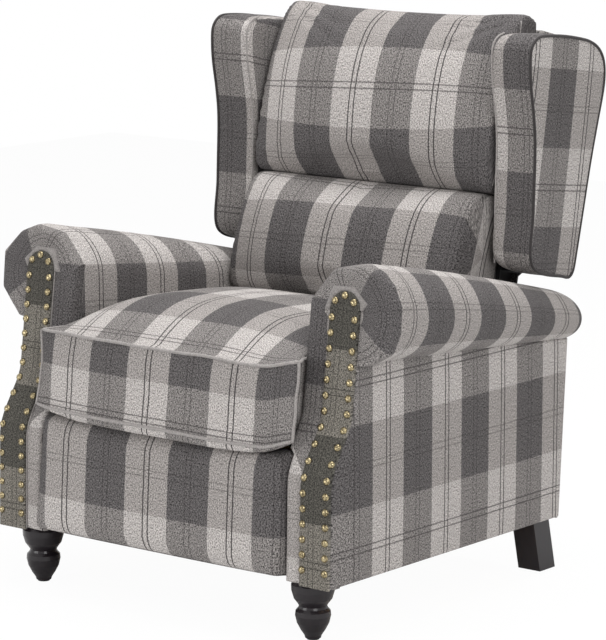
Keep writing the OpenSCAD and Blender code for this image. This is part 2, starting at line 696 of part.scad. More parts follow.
// Ring of the crown: share is 0 at the seam and 1 in the middle
crown_side_power = 5;
crown_front_power = 4;
crown_rear_power = 3;
function dome(x, y) = (1 - pow(min(1, abs(x) / body_x), crown_side_power))
    * (1 - pow(min(1, abs(y - cushion_mid_y) / (cushion_rear_y - cushion_mid_y)),
        y > cushion_mid_y ? crown_rear_power : crown_front_power));
ear_back_y = front_y(cushion_top_z) - cushion_gap;
ear_inset = 2;
function crown_ring(share) = [for (p = whole(cushion_half(cushion_top_z, 0))) let (
    x = p.x * (1 - share), far = mix(p.y, cushion_mid_y, share),
    y = abs(x) > body_x && share > 0 ? min(far, ear_back_y - ear_inset) : far)
    [x, y, seam_z(y) + cushion_crown * dome(x, y)]];
wall_shares = [0.06, 0.25, 0.5, 0.75, 0.94];
crown_shares = [0, 0.04, 0.12, 0.25, 0.45, 0.7];
bottom_share = 0.6;
function wall_ring(s) = [for (p = whole(cushion_half(mix(cushion_low_z, cushion_top_z, s),
    cushion_draw * sin(180 * s)))) [p.x, p.y, mix(cushion_low_z, seam_z(p.y), s)]];
module seat_cushion() color("#8a8784") skin(concat(
    [[for (p = cushion_ring(cushion_low_z, 0)) [p.x * bottom_share,
        mix(cushion_mid_y, p.y, bottom_share), cushion_low_z]]],
    [cushion_ring(cushion_low_z, 0)],
    [for (s = wall_shares) wall_ring(s)],
    [for (s = crown_shares) crown_ring(s)]));

// Steel on the seat: side plates that carry the links, and their rivets
plate_low = 22;
tail_low = 17;
tail_high = 24;
push_slot_high = 14;
tail_end = 10;
module seat_plates() color("#484848") both_sides() {
    side(seat_plate_x, plate_t) difference() {
        union() {
            translate([seat_front_y, link_z - plate_low])
                square([seat_rear_y - seat_front_y, rail_top_z - link_z + plate_low]);
            translate([seat_rear_y - over, push_pin.y - tail_low])
                square([push_pin.x + tail_end - seat_rear_y + over, tail_low + tail_high]);
        }
        for (p = [rear_pivot, front_pivot]) hole2d(p, 0);
        slot2d(push_pin, rivet_d + 2 * push_slot_gap, plate_t, push_slot_high);
    }
    block([rail_in_x, seat_front_y, rail_top_z], [seat_plate_x + plate_t, seat_rear_y, deck_z]);
}

// Rivet through two layers: its shank, the head at the far layer and a washer between them
rivet_head_d = 14;
rivet_head_h = 2;
module rivet(p, x0, x1, wall_x) {
    cross_rod(x0, x1 - x0, p, rivet_d);
    cross_rod(x0 - rivet_head_h, rivet_head_h, p, rivet_head_d);
    cross_rod(wall_x - layer_gap + seat_gap, layer_gap - seat_gap, p, rivet_head_d);
}
module seat_rivets() color("silver") both_sides() for (p = [rear_pivot, front_pivot])
    rivet(p, link_x - seat_gap, seat_plate_x + plate_t, seat_plate_x);

// Links, all in side view
module rear_links() color("#585858") both_sides() {
    side(link_x, plate_t) difference() {
        union() {
            bar2d(rear_pivot, rear_end, link_w);
            bar2d(rear_pivot, crank_pin, link_w);
        }
        hole2d(rear_pivot, run_gap);
    }
    rivet(rear_end, bar_x - seat_gap, link_x, link_x);
    cross_rod(drive_x - rivet_head_h, link_x - drive_x + rivet_head_h, crank_pin, rivet_d);
}
module front_links() color("#585858") both_sides() {
    side(link_x, plate_t) difference() {
        bar2d(front_pivot, front_end, link_w);
        hole2d(front_pivot, run_gap);
    }
    for (p = [front_end, control_end]) rivet(p, bar_x - seat_gap, link_x, link_x);
}
bar_waist = 10;
module extension_bars() color("#606060") both_sides() side(bar_x, plate_t) difference() {
    union() {
        bar2d(rear_end, front_end, bar_waist);
        translate(rear_end) circle(d = link_w);
        bar2d(front_end, foot_pivot, link_w);
    }
    hole2d(rear_end, run_gap);
    hole2d(front_end, open_gap);
    hole2d(foot_pivot, run_gap);
}
module control_links() color("#606060") both_sides() side(bar_x, plate_t) difference() {
    bar2d(control_end, foot_control, control_w);
    hole2d(control_end, run_gap);
    hole2d(foot_control, open_gap);
}

// Footrest, drawn upright behind its lower rear edge and then leaned
module on_footrest() translate([0, footrest_y, footrest_z]) rotate([-footrest_lean_deg, 0, 0])
    children();
board_inset = 6;
module footrest_board() color("burlywood") on_footrest()
    block([-footrest_x + board_inset, -board_t, board_inset],
        [footrest_x - board_inset, 0, footrest_h - board_inset]);
// Rounded rectangle with points along its sides
rect_side_n = 8;
rect_corner_n = 3;
function quarter(cx, cz, r, a0) = [for (i = [0:rect_corner_n])
    let (a = a0 + 90 * i / rect_corner_n) [cx + r * cos(a), cz + r * sin(a)]];
function rect(hx, hz, r) = let (x = hx - r, z = hz - r,
    c = [quarter(x, z, r, 0), quarter(-x, z, r, 90), quarter(-x, -z, r, 180),
        quarter(x, -z, r, 270)])
    [for (k = [0:3]) let (a = c[k][rect_corner_n], b = c[(k + 1) % 4][0])
        each concat(c[k], [for (i = [1:rect_side_n - 1]) mix(a, b, i / rect_side_n)])];
foot_corner = 12;
foot_edge = 9;
foot_crown = 3;
// Rings of the padded face as [depth share, inset]
foot_ring_shares = [[0.28, 0.5], [0.38, 0], [0.8, 0], [0.93, 0.35], [1, 1]];
module footrest_pad() color("#7b7876") on_footrest() translate([0, 0, footrest_h / 2])
    skin(concat(
        [for (s = foot_ring_shares) [for (p = rect(footrest_x - foot_edge * s.y,
            footrest_h / 2 - foot_edge * s.y, foot_corner))
            [p.x, -max(board_t + soft_gap, footrest_t * s.x), p.y]]],
        [[for (p = rect(footrest_x / 2, footrest_h / 4, foot_corner))
            [p.x, -footrest_t - foot_crown, p.y]]]));
// Brackets screwed to the board's back
bracket_foot = 30;
bracket_low_share = 0.32;
bracket_high_share = 0.78;
function board_y(z) = footrest_y + (z - footrest_z) * tan(footrest_lean_deg);
module footrest_brackets() color("#484848") both_sides() {
    low_z = footrest_z + footrest_h * bracket_low_share;
    high_z = footrest_z + footrest_h * bracket_high_share;
    side(link_x, plate_t) hull() {
        translate(foot_pivot) circle(d = link_w);
        translate(foot_control) circle(d = link_w);
        polygon([[board_y(low_z), low_z], [board_y(high_z), high_z], [board_y(high_z) + over, high_z]]);
    }
    on_footrest() block([link_x - bracket_foot, 0, footrest_h * bracket_low_share],
        [link_x, plate_t, footrest_h * bracket_high_share]);
    for (p = [foot_pivot, foot_control]) rivet(p, bar_x - seat_gap, link_x, link_x);
}

// Back, drawn upright about the recline pivot and then leaned; depth is towards the rear
module on_back() translate([0, pivot_y, pivot_z]) rotate([-back_lean_deg, 0, 0]) children();
post_in_x = post_out_x - post_w;
wide_x = wing_x - seat_gap;
module back_post() color("burlywood") difference() {
    on_back() {
        block([post_in_x, -post_front, -post_low], [post_out_x, post_rear, post_high]);
        block([post_out_x - over, -post_front, shoulder_w], [wide_x, post_rear, post_high]);
    }
    cross_rod(pivot_head_x - pocket_gap, post_out_x - pivot_head_x + pocket_gap + over, pivot,
        pivot_head_d + 2 * pocket_gap);
    wing_bolt_holes(wing_bolt_x - wing_bolt_head_h - over);
}
module back_post_right() back_post();
module back_post_left() left() back_post();
rail_d = 24;
top_rail_h = 60;
middle_rail_at = 300;
bottom_rail_h = 34;
module back_rail(low, h) color("burlywood") on_back()
    block([-post_in_x, -post_front, low], [post_in_x, rail_d - post_front, low + h]);
module back_top_rail() back_rail(post_high - top_rail_h, top_rail_h);
module back_middle_rail() back_rail(middle_rail_at, bottom_rail_h);
module back_bottom_rail() back_rail(-post_low, bottom_rail_h);
webbing_t = 1.5;
webbing_w = 45;
webbing_ats = [60, 135, 210, 380, 460];
module back_webbing() color("#303030") on_back() for (w = webbing_ats)
    block([-post_out_x, -post_front - webbing_t, w], [post_out_x, -post_front, w + webbing_w]);
liner_t = 4;
liner_y = post_front + webbing_t + seat_gap;
module back_liner() color("#454341") on_back()
    block([-post_out_x, -liner_y - liner_t, -post_low], [post_out_x, -liner_y, post_high]);
panel_notch_top = -8;
module back_panel() color("dimgray") on_back() {
    panel_y = post_rear + back_panel_t;
    difference() {
        block([-body_x, post_rear, -post_low], [body_x, panel_y, post_high]);
        both_sides() block([bracket_x - seat_gap, post_rear - over, -post_low - over],
            [body_x + over, panel_y + over, panel_notch_top]);
    }
    both_sides() block([body_x - over, post_rear, shoulder_w], [wide_x, panel_y, post_high]);
    block([-wide_x, -post_front, post_high], [wide_x, panel_y, post_high + back_panel_t]);
}

// Pillows: one side profile skinned across the chair and drawn in at both ends
pillow_y = liner_y + liner_t + soft_gap;
pillow_station_shares = [-1, -0.97, -0.88, -0.65, -0.35, 0, 0.35, 0.65, 0.88, 0.97, 1];
pillow_mid_share = 0.5;
pillow_low_share = 0.5;
pillow_height_share = 0.6;
pillow_sizes_share = [0.8, 0.91, 0.97, 1, 1, 1, 1, 1, 0.97, 0.91, 0.8];
// Profile points as [forward share, height share], from the lower rear edge
lumbar_shares = [[0, 0.13], [0.3, 0.07], [0.6, 0.02], [0.84, 0], [0.95, 0.06], [1, 0.18],
    [1, 0.36], [0.97, 0.55], [0.9, 0.75], [0.79, 0.92], [0.66, 0.985], [0.5, 1], [0.25, 1],
    [0, 1]];
head_shares = [[0, 0], [0.35, 0], [0.68, 0], [0.85, 0.012], [0.95, 0.06], [0.99, 0.14],
    [1, 0.26], [0.99, 0.4], [0.96, 0.55], [0.89, 0.7], [0.78, 0.83], [0.63, 0.94],
    [0.42, 1], [0.2, 1], [0, 0.97]];
module pillow(profile, hx, t, low, h) on_back() skin(turned([
    for (i = [0:len(pillow_station_shares) - 1]) let (k = pillow_sizes_share[i])
        [for (p = profile) [hx * pillow_station_shares[i],
            -pillow_y - t * p.x * (p.y < pillow_mid_share ? mix(k, 1, pillow_low_share) : k),
            low + h * mix(pillow_mid_share, p.y, mix(k, 1, pillow_height_share))]]]));
module lumbar_pillow() color("#8d8a87") pillow(lumbar_shares, lumbar_x, lumbar_t, lumbar_low, lumbar_h);
head_low = lumbar_low + lumbar_h + 2 * soft_gap;
module head_pillow() color("#85827f") pillow(head_shares, head_x, head_t, head_low, head_h);

// Wings: an outline as [forward share, height share], padded round a timber
wing_shares = [[0.112, 0], [0.565, 0.02], [0.66, 0.25], [0.757, 0.505], [0.836, 0.632],
    [0.94, 0.76], [0.99, 0.85], [1, 0.9], [0.96, 0.94], [0.874, 0.965], [0.58, 0.99],
    [0.285, 1], [0.1, 0.985], [0.023, 0.95], [0, 0.556], [0.042, 0.02]];
wing_mid_shares = [0.45, 0.5];
function wing_point(s, grow) = let (c = wing_mid_shares)
    [wing_rear - wing_d * (c.x + (s.x - c.x) * grow), wing_low + wing_h * (c.y + (s.y - c.y) * grow)];
wing_timber_share = 0.8;
wing_timber_clear_share = 0.002;
// Stations across the wing as [distance share, size share]
wing_station_shares = [[0, 0.93], [0.06, 0.975], [0.2, 1], [0.9, 1], [1, 0.985]];
wing_timber_x = wing_x + (wing_t - wing_timber_t) / 2;
module wing_slab(x, t, grow) side(x, t) polygon([for (s = wing_shares) wing_point(s, grow)]);
module wing_timber() difference() {
    on_back() wing_slab(wing_timber_x, wing_timber_t, wing_timber_share);
    wing_bolt_holes(wing_bolt_x);
}
module wing_frames() color("burlywood") both_sides() wing_timber();
module wing_pad() color("gray") difference() {
    on_back() difference() {
        skin(turned([for (s = wing_station_shares) [for (w = wing_shares)
            let (p = wing_point(w, s.y)) [wing_x + wing_t * s.x, p.x, p.y]]]));
        wing_slab(wing_timber_x - seat_gap, wing_timber_t + 2 * seat_gap,
            wing_timber_share + wing_timber_clear_share);
    }
    wing_bolt_holes(wing_bolt_x);
}
module wing_pad_right() wing_pad();
module wing_pad_left() left() wing_pad();
wing_bolt_x = post_in_x;
wing_bolt_d = 8;
wing_bolt_head_d = 16;
wing_bolt_head_h = 4;
wing_bolt_shares = [0.118, 0.485, 0.828];
wing_bolt_ats = [for (s = wing_bolt_shares) wing_low + wing_h * s];
wing_bolt_y = -post_front / 2 + rail_d / 2;
wing_bolt_end = wing_timber_x + wing_timber_t;
module wing_bolt_holes(x) on_back() for (w = wing_bolt_ats)
    cross_rod(x, wing_bolt_end - x, [wing_bolt_y, w], wing_bolt_d);
module wing_bolts() color("silver") both_sides() on_back() for (w = wing_bolt_ats) {
    cross_rod(wing_bolt_x, wing_bolt_end - wing_bolt_x, [wing_bolt_y, w], wing_bolt_d);
    cross_rod(wing_bolt_x - wing_bolt_head_h, wing_bolt_head_h, [wing_bolt_y, w], wing_bolt_head_d);
}

// Steel brackets on the posts, with the pins that push the seat
bracket_up = 130;
bracket_w = 20;
bracket_screw_up = 60;
module back_brackets() color("#2c2c2c") both_sides() {
    up = [sin(back_lean_deg), cos(back_lean_deg)];
    side(bracket_x, bracket_t) difference() {
        union() {
            bar2d(pivot, pivot + bracket_up * up, bracket_w);
            bar2d(pivot, push_pin, bracket_w - 2 * plate_t);
        }
        translate(pivot) circle(d = pivot_d + 2 * run_gap);
    }
    cross_rod(bracket_x + bracket_t, seat_plate_x + plate_t + over - bracket_x - bracket_t, push_pin,
        rivet_d);
}

arm_frame_right();
arm_frame_left();
arm_outer_panel_right();
arm_outer_panel_left();
arm_inner_panel_right();
arm_inner_panel_left();
arm_front_panel_right();
arm_front_panel_left();
arm_roll_right();
arm_roll_left();
arm_facing_right();
arm_facing_left();
facing_nails_right();
facing_nails_left();
front_leg_right();
front_leg_left();
rear_leg_right();
rear_leg_left();
leg_studs();
foot_glides();
base_plates();
slide_channels();
base_bolts();
middle_rail();
rear_rail();
rear_apron();
drive_brackets();
pivot_bolts();
seat_front_rail();
seat_rear_rail();
seat_side_rails();
seat_springs();
spring_clips();
seat_deck();
seat_cushion();
seat_plates();
slide_blocks();
seat_rivets();
back_post_right();
back_post_left();
back_top_rail();
back_middle_rail();
back_bottom_rail();
back_webbing();
back_liner();
back_panel();
head_pillow();
lumbar_pillow();
wing_frames();
wing_pad_right();
wing_pad_left();
wing_bolts();
back_brackets();
footrest_board();
footrest_pad();
footrest_brackets();
rear_links();
front_links();
extension_bars();
control_links();
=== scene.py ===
"""Wingback push-back recliner in plaid tweed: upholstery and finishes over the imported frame."""
import json
import math

import bpy
import bmesh
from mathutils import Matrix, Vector
from mathutils.bvhtree import BVHTree

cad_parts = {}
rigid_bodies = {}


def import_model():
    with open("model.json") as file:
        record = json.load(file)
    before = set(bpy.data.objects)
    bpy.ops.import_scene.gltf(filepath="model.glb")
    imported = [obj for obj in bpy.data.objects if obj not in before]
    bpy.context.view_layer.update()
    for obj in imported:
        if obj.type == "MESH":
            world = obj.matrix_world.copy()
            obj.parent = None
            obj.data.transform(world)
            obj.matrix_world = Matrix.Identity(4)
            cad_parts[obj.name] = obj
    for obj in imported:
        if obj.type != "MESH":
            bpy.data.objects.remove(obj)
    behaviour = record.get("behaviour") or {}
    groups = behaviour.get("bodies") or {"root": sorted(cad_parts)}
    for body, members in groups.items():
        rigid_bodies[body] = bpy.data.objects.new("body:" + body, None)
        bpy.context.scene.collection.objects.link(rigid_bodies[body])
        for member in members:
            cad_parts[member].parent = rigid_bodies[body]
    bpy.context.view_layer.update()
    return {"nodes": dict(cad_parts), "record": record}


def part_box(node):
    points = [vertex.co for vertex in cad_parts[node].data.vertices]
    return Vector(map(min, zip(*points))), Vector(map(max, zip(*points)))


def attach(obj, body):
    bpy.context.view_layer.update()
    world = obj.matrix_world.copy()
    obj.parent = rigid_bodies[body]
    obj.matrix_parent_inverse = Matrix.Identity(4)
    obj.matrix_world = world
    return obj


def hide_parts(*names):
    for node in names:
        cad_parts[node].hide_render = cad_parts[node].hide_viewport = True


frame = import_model()
nodes = frame["nodes"]
MM = 0.001


# Finishes
def linear(code):
    """Linear colour of an sRGB hex value."""
    parts = [int(code[i:i + 2], 16) / 255 for i in (1, 3, 5)]
    return tuple(c / 12.92 if c <= 0.04045 else ((c + 0.055) / 1.055) ** 2.4
                 for c in parts) + (1.0,)


def add(tree, kind, inputs=(), output=0, **settings):
    """Adds a node and gives one of its outputs. An input takes a value or another output."""
    made = tree.nodes.new("ShaderNode" + kind)
    for key, value in settings.items():
        setattr(made, key, value)
    for key, value in inputs.items() if isinstance(inputs, dict) else enumerate(inputs):
        if isinstance(value, bpy.types.NodeSocket):
            tree.links.new(value, made.inputs[key])
        else:
            made.inputs[key].default_value = value
    return made.outputs[output] if made.outputs else None


def cleared(owner):
    """The empty node tree of a material or world."""
    owner.use_nodes = True
    owner.node_tree.nodes.clear()
    return owner.node_tree


def new_finish(name, roughness, surface=None):
    """A material with one Principled shader, whose plain values sit on its own sockets."""
    made = bpy.data.materials.new(name)
    tree = cleared(made)
    shader = add(tree, "BsdfPrincipled", {"Roughness": roughness, **(surface or {})})
    add(tree, "OutputMaterial", {"Surface": shader})
    return made, tree, shader.node.inputs


# One light and one dark stripe along the warp and the weft, as the shader draws them
WARP_MM, WEFT_MM = 165.0, 267.0
YARN_MM = 1.9    # the real 0.6 mm yarn would vanish in the picture, so it is drawn coarser
LINE_MM, LINES_APART_MM = 2.3, 10.0


# Woven wool-look polyester tweed in a plaid of two greys: matt, heathered, with thin paired
# dark lines. The pattern lies on the cloth itself, so every cut panel carries it its own way.
def check_tweed(name, both_light, light_warp, light_weft, both_dark, line):
    made, tree, shader = new_finish(name, 0.92, {
        "Specular IOR Level": 0.15, "Sheen Weight": 0.04, "Sheen Roughness": 0.6,
        "Sheen Tint": linear("#c9c4c0")})
    cloth = add(tree, "UVMap", uv_map="cloth")
    split = add(tree, "SeparateXYZ", (cloth,)).node.outputs
    # From 0 in the middle of a light stripe to 0.5 in the middle of a dark one
    warp, weft = (add(tree, "Math", (split[k], 0.5), operation="PINGPONG") for k in (0, 1))
    warp_light, weft_light = (
        add(tree, "MapRange", (at, low, high, 1.0, 0.0), interpolation_type="SMOOTHSTEP")
        for at, low, high in ((warp, 0.252, 0.262), (weft, 0.247, 0.253)))
    rows = [add(tree, "Mix", {0: warp_light, 6: linear(dark), 7: linear(light)}, 2,
                data_type="RGBA")
            for dark, light in ((both_dark, light_warp), (light_weft, both_light))]
    ground = add(tree, "Mix", {0: weft_light, 6: rows[0], 7: rows[1]}, 2, data_type="RGBA")
    lines = 0.0
    for at, repeat, middle, strength in (
            (warp, WARP_MM, 0.0, 0.95), (warp, WARP_MM, 0.5, 0.45),
            (weft, WEFT_MM, 0.0, 0.66), (weft, WEFT_MM, 0.5, 0.34)):
        away = at
        for less in (middle, LINES_APART_MM / 2 / repeat):
            away = add(tree, "Math", (away, less), operation="SUBTRACT")
            away = add(tree, "Math", (away,), operation="ABSOLUTE")
        ink = add(tree, "MapRange", (away, 0.3 * LINE_MM / repeat, 0.7 * LINE_MM / repeat,
                                     strength, 0.0), interpolation_type="SMOOTHSTEP")
        lines = add(tree, "Math", (lines, ink), operation="MAXIMUM")
    # Heather: light and dark fibres twisted in each yarn, longer along the warp, over slubs
    in_mm = add(tree, "VectorMath", (cloth, (WARP_MM, WEFT_MM, 1.0)), operation="MULTIPLY")
    along = add(tree, "VectorMath", (in_mm, (1 / YARN_MM, 0.7 / YARN_MM, 1.0)),
                operation="MULTIPLY")
    fleck = add(tree, "TexNoise", {"Vector": along, "Scale": 1.0, "Detail": 3.0,
                                   "Roughness": 0.72}, noise_dimensions="2D")
    across = add(tree, "VectorMath", (in_mm, (0.05, 0.9, 1.0)), operation="MULTIPLY")
    slub = add(tree, "TexNoise", {"Vector": across, "Scale": 1.0, "Detail": 1.0},
               noise_dimensions="2D")
    # Dark stripes mix black and pale fibres, so their flecks stand out more
    spread = add(tree, "Math", (warp_light, -1.6, 5.6), operation="MULTIPLY_ADD")
    level = add(tree, "Math", (slub, 0.24, 0.88), operation="MULTIPLY_ADD")
    centred = add(tree, "Math", (fleck, 0.5), operation="SUBTRACT")
    bright = add(tree, "Math", (centred, spread, level), operation="MULTIPLY_ADD")
    inked = add(tree, "Mix", {0: lines, 6: ground, 7: linear(line)}, 2, data_type="RGBA")
    colour = add(tree, "VectorMath", {0: inked, "Scale": bright}, operation="SCALE")
    tree.links.new(colour, shader["Base Color"])
    relief = add(tree, "Bump", {"Strength": 0.5, "Distance": 0.0007, "Height": fleck})
    tree.links.new(relief, shader["Normal"])
    return made


def mottled(name, roughness, colours, scale, relief=None, spread=(0.0, 1.0), surface=None,
            detail=3.0, harsh=0.5, twist=0.0):
    """A finish whose two colours and relief follow one noise. scale is the noise's along x, y
    and z, relief the bump's strength and depth, and a pair for roughness follows it too."""
    made, tree, shader = new_finish(name, 0.5, surface)
    place = add(tree, "TexCoord", output="Object")
    place = add(tree, "Mapping", {"Vector": place, "Scale": scale})
    blotch = add(tree, "TexNoise", {"Vector": place, "Scale": 1.0, "Detail": detail,
                                    "Roughness": harsh, "Distortion": twist})
    tone = add(tree, "MapRange", (blotch, *spread))
    first, second = (linear(code) for code in colours)
    tint = add(tree, "Mix", {0: tone, 6: first, 7: second}, 2, data_type="RGBA")
    tree.links.new(tint, shader["Base Color"])
    if isinstance(roughness, tuple):
        dull = add(tree, "MapRange", (blotch, 0.0, 1.0, *roughness))
        tree.links.new(dull, shader["Roughness"])
    else:
        shader["Roughness"].default_value = roughness
    if relief:
        raised = add(tree, "Bump", {"Strength": relief[0], "Distance": relief[1],
                                    "Height": blotch})
        tree.links.new(raised, shader["Normal"])
    return made


# Bias-cut cord covers: the same yarn without the plaid, so an even heathered tone
def cord_cloth(name, shade, colour):
    return mottled(name, 0.9, (shade, colour), (1000 / 2.2,) * 3, (0.4, 0.0005),
                   (0.35, 0.65), {"Specular IOR Level": 0.25, "Sheen Weight": 0.15}, harsh=0.7)


tweed = check_tweed("plaid_tweed", "#aca7a4", "#938e8b", "#797573", "#575454", "#353132")
facing_tweed = check_tweed("facing_tweed", "#8b867e", "#7b766f", "#6f6b64", "#4a4843", "#33312e")
pale_cord = cord_cloth("pale_welt_cloth", "#7d7977", "#a5a09d")
# The arch band's cloth: the pale welt cloth made darker with painted shade
painted_shade_band_cloth = cord_cloth("painted_shade_band_cloth", "#6f6b69", "#96918e")
dark_cord = cord_cloth("dark_welt_cloth", "#282525", "#3f3b3b")
# Spun-bonded polypropylene under the seat and behind the pillows: black, faintly mottled
black_cloth = cord_cloth("black_lining", "#121212", "#201f20")

slot_finishes = {
    # Planed softwood frame: pale, unfinished, straight grain with darker late-wood streaks
    "timber": mottled("planed_pine", 0.62, ("#d3b384", "#b08a58"), (90, 60, 7),
                      (0.15, 0.0004), (0.3, 0.7), detail=4.0, twist=0.6),
    # Turned beech under high-gloss black lacquer: mirror-like coat, faint purple in the black
    "black_lacquer": mottled(
        "black_lacquered_beech", 0.34, ("#1a1619", "#252023"), (160, 160, 14), (0.06, 0.0004),
        surface={"Coat Weight": 0.4, "Coat Roughness": 0.035, "Specular IOR Level": 0.15}),
    # Stamped steel, powder-coated black with a fine orange peel
    "black_steel": mottled("powder_coated_steel", 0.42, ("#1d1d1e", "#29292a"),
                           (1000 / 1.6,) * 3, (0.2, 0.0003)),
    # Stamped steel in bright zinc with a soft mottle
    "zinc_steel": mottled("zinc_plated_steel", 0.34, ("#a9adb0", "#c6c9ca"),
                          (1000 / 6.0,) * 3, (0.08, 0.0003), surface={"Metallic": 1.0}),
    # Moulded nylon glides and slide blocks: off-black, waxy, fine spark-eroded texture
    "nylon": mottled("moulded_nylon", 0.42, ("#262627", "#323233"), (1400,) * 3,
                     (0.12, 0.0002), detail=2.0),
    # Brass-plated steel nail heads, darkened and rubbed back: warm bright crowns, brown patina
    "antique_brass": mottled("antique_brass_nails", (0.2, 0.46), ("#ada07e", "#3f3323"),
                             (420,) * 3, None, (0.4, 0.64), {"Metallic": 1.0}, harsh=0.6),
    "black_cloth": black_cloth,
    "check_tweed": tweed,
    "facing_tweed": facing_tweed,
}


# Shapes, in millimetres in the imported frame
def mix(a, b, t):
    return a + (b - a) * t


def clamp(t):
    return min(1.0, max(0.0, t))


def ease(t):
    t = clamp(t)
    return t * t * (3 - 2 * t)


def placed(name, data):
    """A new object in the scene."""
    made = bpy.data.objects.new(name, data)
    bpy.context.scene.collection.objects.link(made)
    return made


def shape(name, points, faces):
    """A smooth-shaded mesh object from points in millimetres."""
    mesh = bpy.data.meshes.new(name)
    mesh.from_pydata([Vector(p) * MM for p in points], [], faces)
    mesh.polygons.foreach_set("use_smooth", [True] * len(mesh.polygons))
    mesh.update()
    return placed(name, mesh)


def skin(rings, capped=True):
    """Points and faces over a stack of rings, closed by fans at both ends."""
    count = len(rings[0])
    top = count * (len(rings) - 1)
    points = [p for ring in rings for p in ring]
    faces = [(at + j, at + (j + 1) % count, at + count + (j + 1) % count, at + count + j)
             for at in range(0, top, count) for j in range(count)]
    for at, ring in ((0, rings[0]), (top, rings[-1])) if capped else ():
        points.append([sum(p[k] for p in ring) / count for k in range(3)])
        for j in range(count):
            edge = (at + j, at + (j + 1) % count)
            faces.append((len(points) - 1, *(edge if at else edge[::-1])))
    return points, faces


def outward(obj):
    """Turns all faces outward."""
    mesh = bmesh.new()
    mesh.from_mesh(obj.data)
    bmesh.ops.recalc_face_normals(mesh, faces=mesh.faces)
    mesh.to_mesh(obj.data)
    mesh.free()
    return obj


def smoothed(corners, count, closed=True):
    """Evenly spaced points on a smooth curve through the corners."""
    n = len(corners)
    dense = []
    last = n if closed else n - 1
    for i in range(last):
        a, b, c, d = (corners[(i + k) % n] if closed else corners[min(max(i + k, 0), n - 1)]
                      for k in (-1, 0, 1, 2))
        for s in range(12):
            t = s / 12
            dense.append([0.5 * (2 * b[k] + (c[k] - a[k]) * t
                                 + (2 * a[k] - 5 * b[k] + 4 * c[k] - d[k]) * t * t
                                 + (3 * b[k] - a[k] - 3 * c[k] + d[k]) * t ** 3)
                          for k in range(len(b))])
    dense.append(list(corners[0] if closed else corners[-1]))
    run = [0.0]
    for p, q in zip(dense, dense[1:]):
        run.append(run[-1] + math.dist(p, q))
    made = []
    at = 0
    for i in range(count):
        want = run[-1] * i / (count if closed else count - 1)
        while at < len(run) - 2 and run[at + 1] < want:
            at += 1
        t = clamp((want - run[at]) / max(1e-9, run[at + 1] - run[at]))
        made.append([mix(p, q, t) for p, q in zip(dense[at], dense[at + 1])])
    return made


def dress(obj, body, finish, chart=None, stands_for=()):
    """Gives a piece its finish, its body and its cloth. chart gives the plaid's stripe count
    along warp and weft for a point and the normal and middle of its face."""
    obj.data.materials.clear()
    obj.data.materials.append(finish)
    if chart:
        layer = obj.data.uv_layers.new(name="cloth").data
        for face in obj.data.polygons:
            middle = face.center / MM
            for vertex, loop in zip(face.vertices, face.loop_indices):
                point = obj.data.vertices[vertex].co / MM
                layer[loop].uv = chart(point, face.normal, middle)
    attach(obj, body)
    if stands_for:
        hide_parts(*stands_for)
    return obj


def mirrored(obj, name):
    """A copy of the mesh across the middle plane."""
    made = placed(name, obj.data.copy())
    for vertex in made.data.vertices:
        vertex.co.x = -vertex.co.x
    made.data.flip_normals()
    return made


def tube(name, route, radius, sides=8, closed=False):
    """A cord of round section along a route of points."""
    count = len(route)
    turns = [2 * math.pi * k / sides for k in range(sides)]
    rings = []
    across = None
    for i, p in enumerate(route):
        before = route[(i - 1) % count] if closed or i else route[0]
        after = route[(i + 1) % count] if closed or i < count - 1 else route[-1]
        along = (Vector(after) - Vector(before)).normalized()
        across = along.orthogonal() if across is None else across
        across = (across - along * across.dot(along)).normalized()
        other = along.cross(across)
        rings.append([Vector(p) + radius * (math.cos(a) * across + math.sin(a) * other)
                      for a in turns])
    points, faces = skin(rings, capped=not closed)
    if closed:
        low = (count - 1) * sides
        turn = min(range(sides), key=lambda k: (rings[-1][0] - rings[0][k]).length)
        for j in range(sides):
            faces.append((low + j, low + (j + 1) % sides, (j + 1 + turn) % sides,
                          (j + turn) % sides))
    return outward(shape(name, points, faces))


def surface_of(obj):
    """Lookup of the nearest place on a piece."""
    points = [v.co / MM for v in obj.data.vertices]
    return BVHTree.FromPolygons(points, [tuple(f.vertices) for f in obj.data.polygons])


def snapped(tree, route, proud=0.0):
    """The route's points moved onto the surface, and out by proud."""
    made = []
    for p in route:
        spot, normal, _, _ = tree.find_nearest(Vector(p))
        made.append(spot + normal * proud)
    return made


def calm(route, times=2, closed=False):
    """Evens out a route."""
    route = [Vector(p) for p in route]
    count = len(route)
    for _ in range(times):
        route = [p.copy() if not closed and i in (0, count - 1)
                 else (route[(i - 1) % count] + 2 * p + route[(i + 1) % count]) / 4
                 for i, p in enumerate(route)]
    return route


def applied(obj):
    """Bakes the object's modifiers into its mesh."""
    bpy.context.view_layer.update()
    seen = obj.evaluated_get(bpy.context.evaluated_depsgraph_get())
    made = bpy.data.meshes.new_from_object(seen)
    old = obj.data
    obj.modifiers.clear()
    obj.data = made
    bpy.data.meshes.remove(old)
    made.name = obj.name
    return obj


def fine(obj):
    """Subdivides the mesh smoothly."""
    mod = obj.modifiers.new("fine", "SUBSURF")
    mod.levels = mod.render_levels = 1
    return applied(obj)


# The cover is blown up with these cloth settings, over this many frames
COVER = {"quality": 6, "mass": 0.35, "tension_stiffness": 12, "compression_stiffness": 12,
         "shear_stiffness": 6, "bending_stiffness": 0.6, "use_pressure": True,
         "vertex_group_mass": "sewn"}
FRAMES = 20


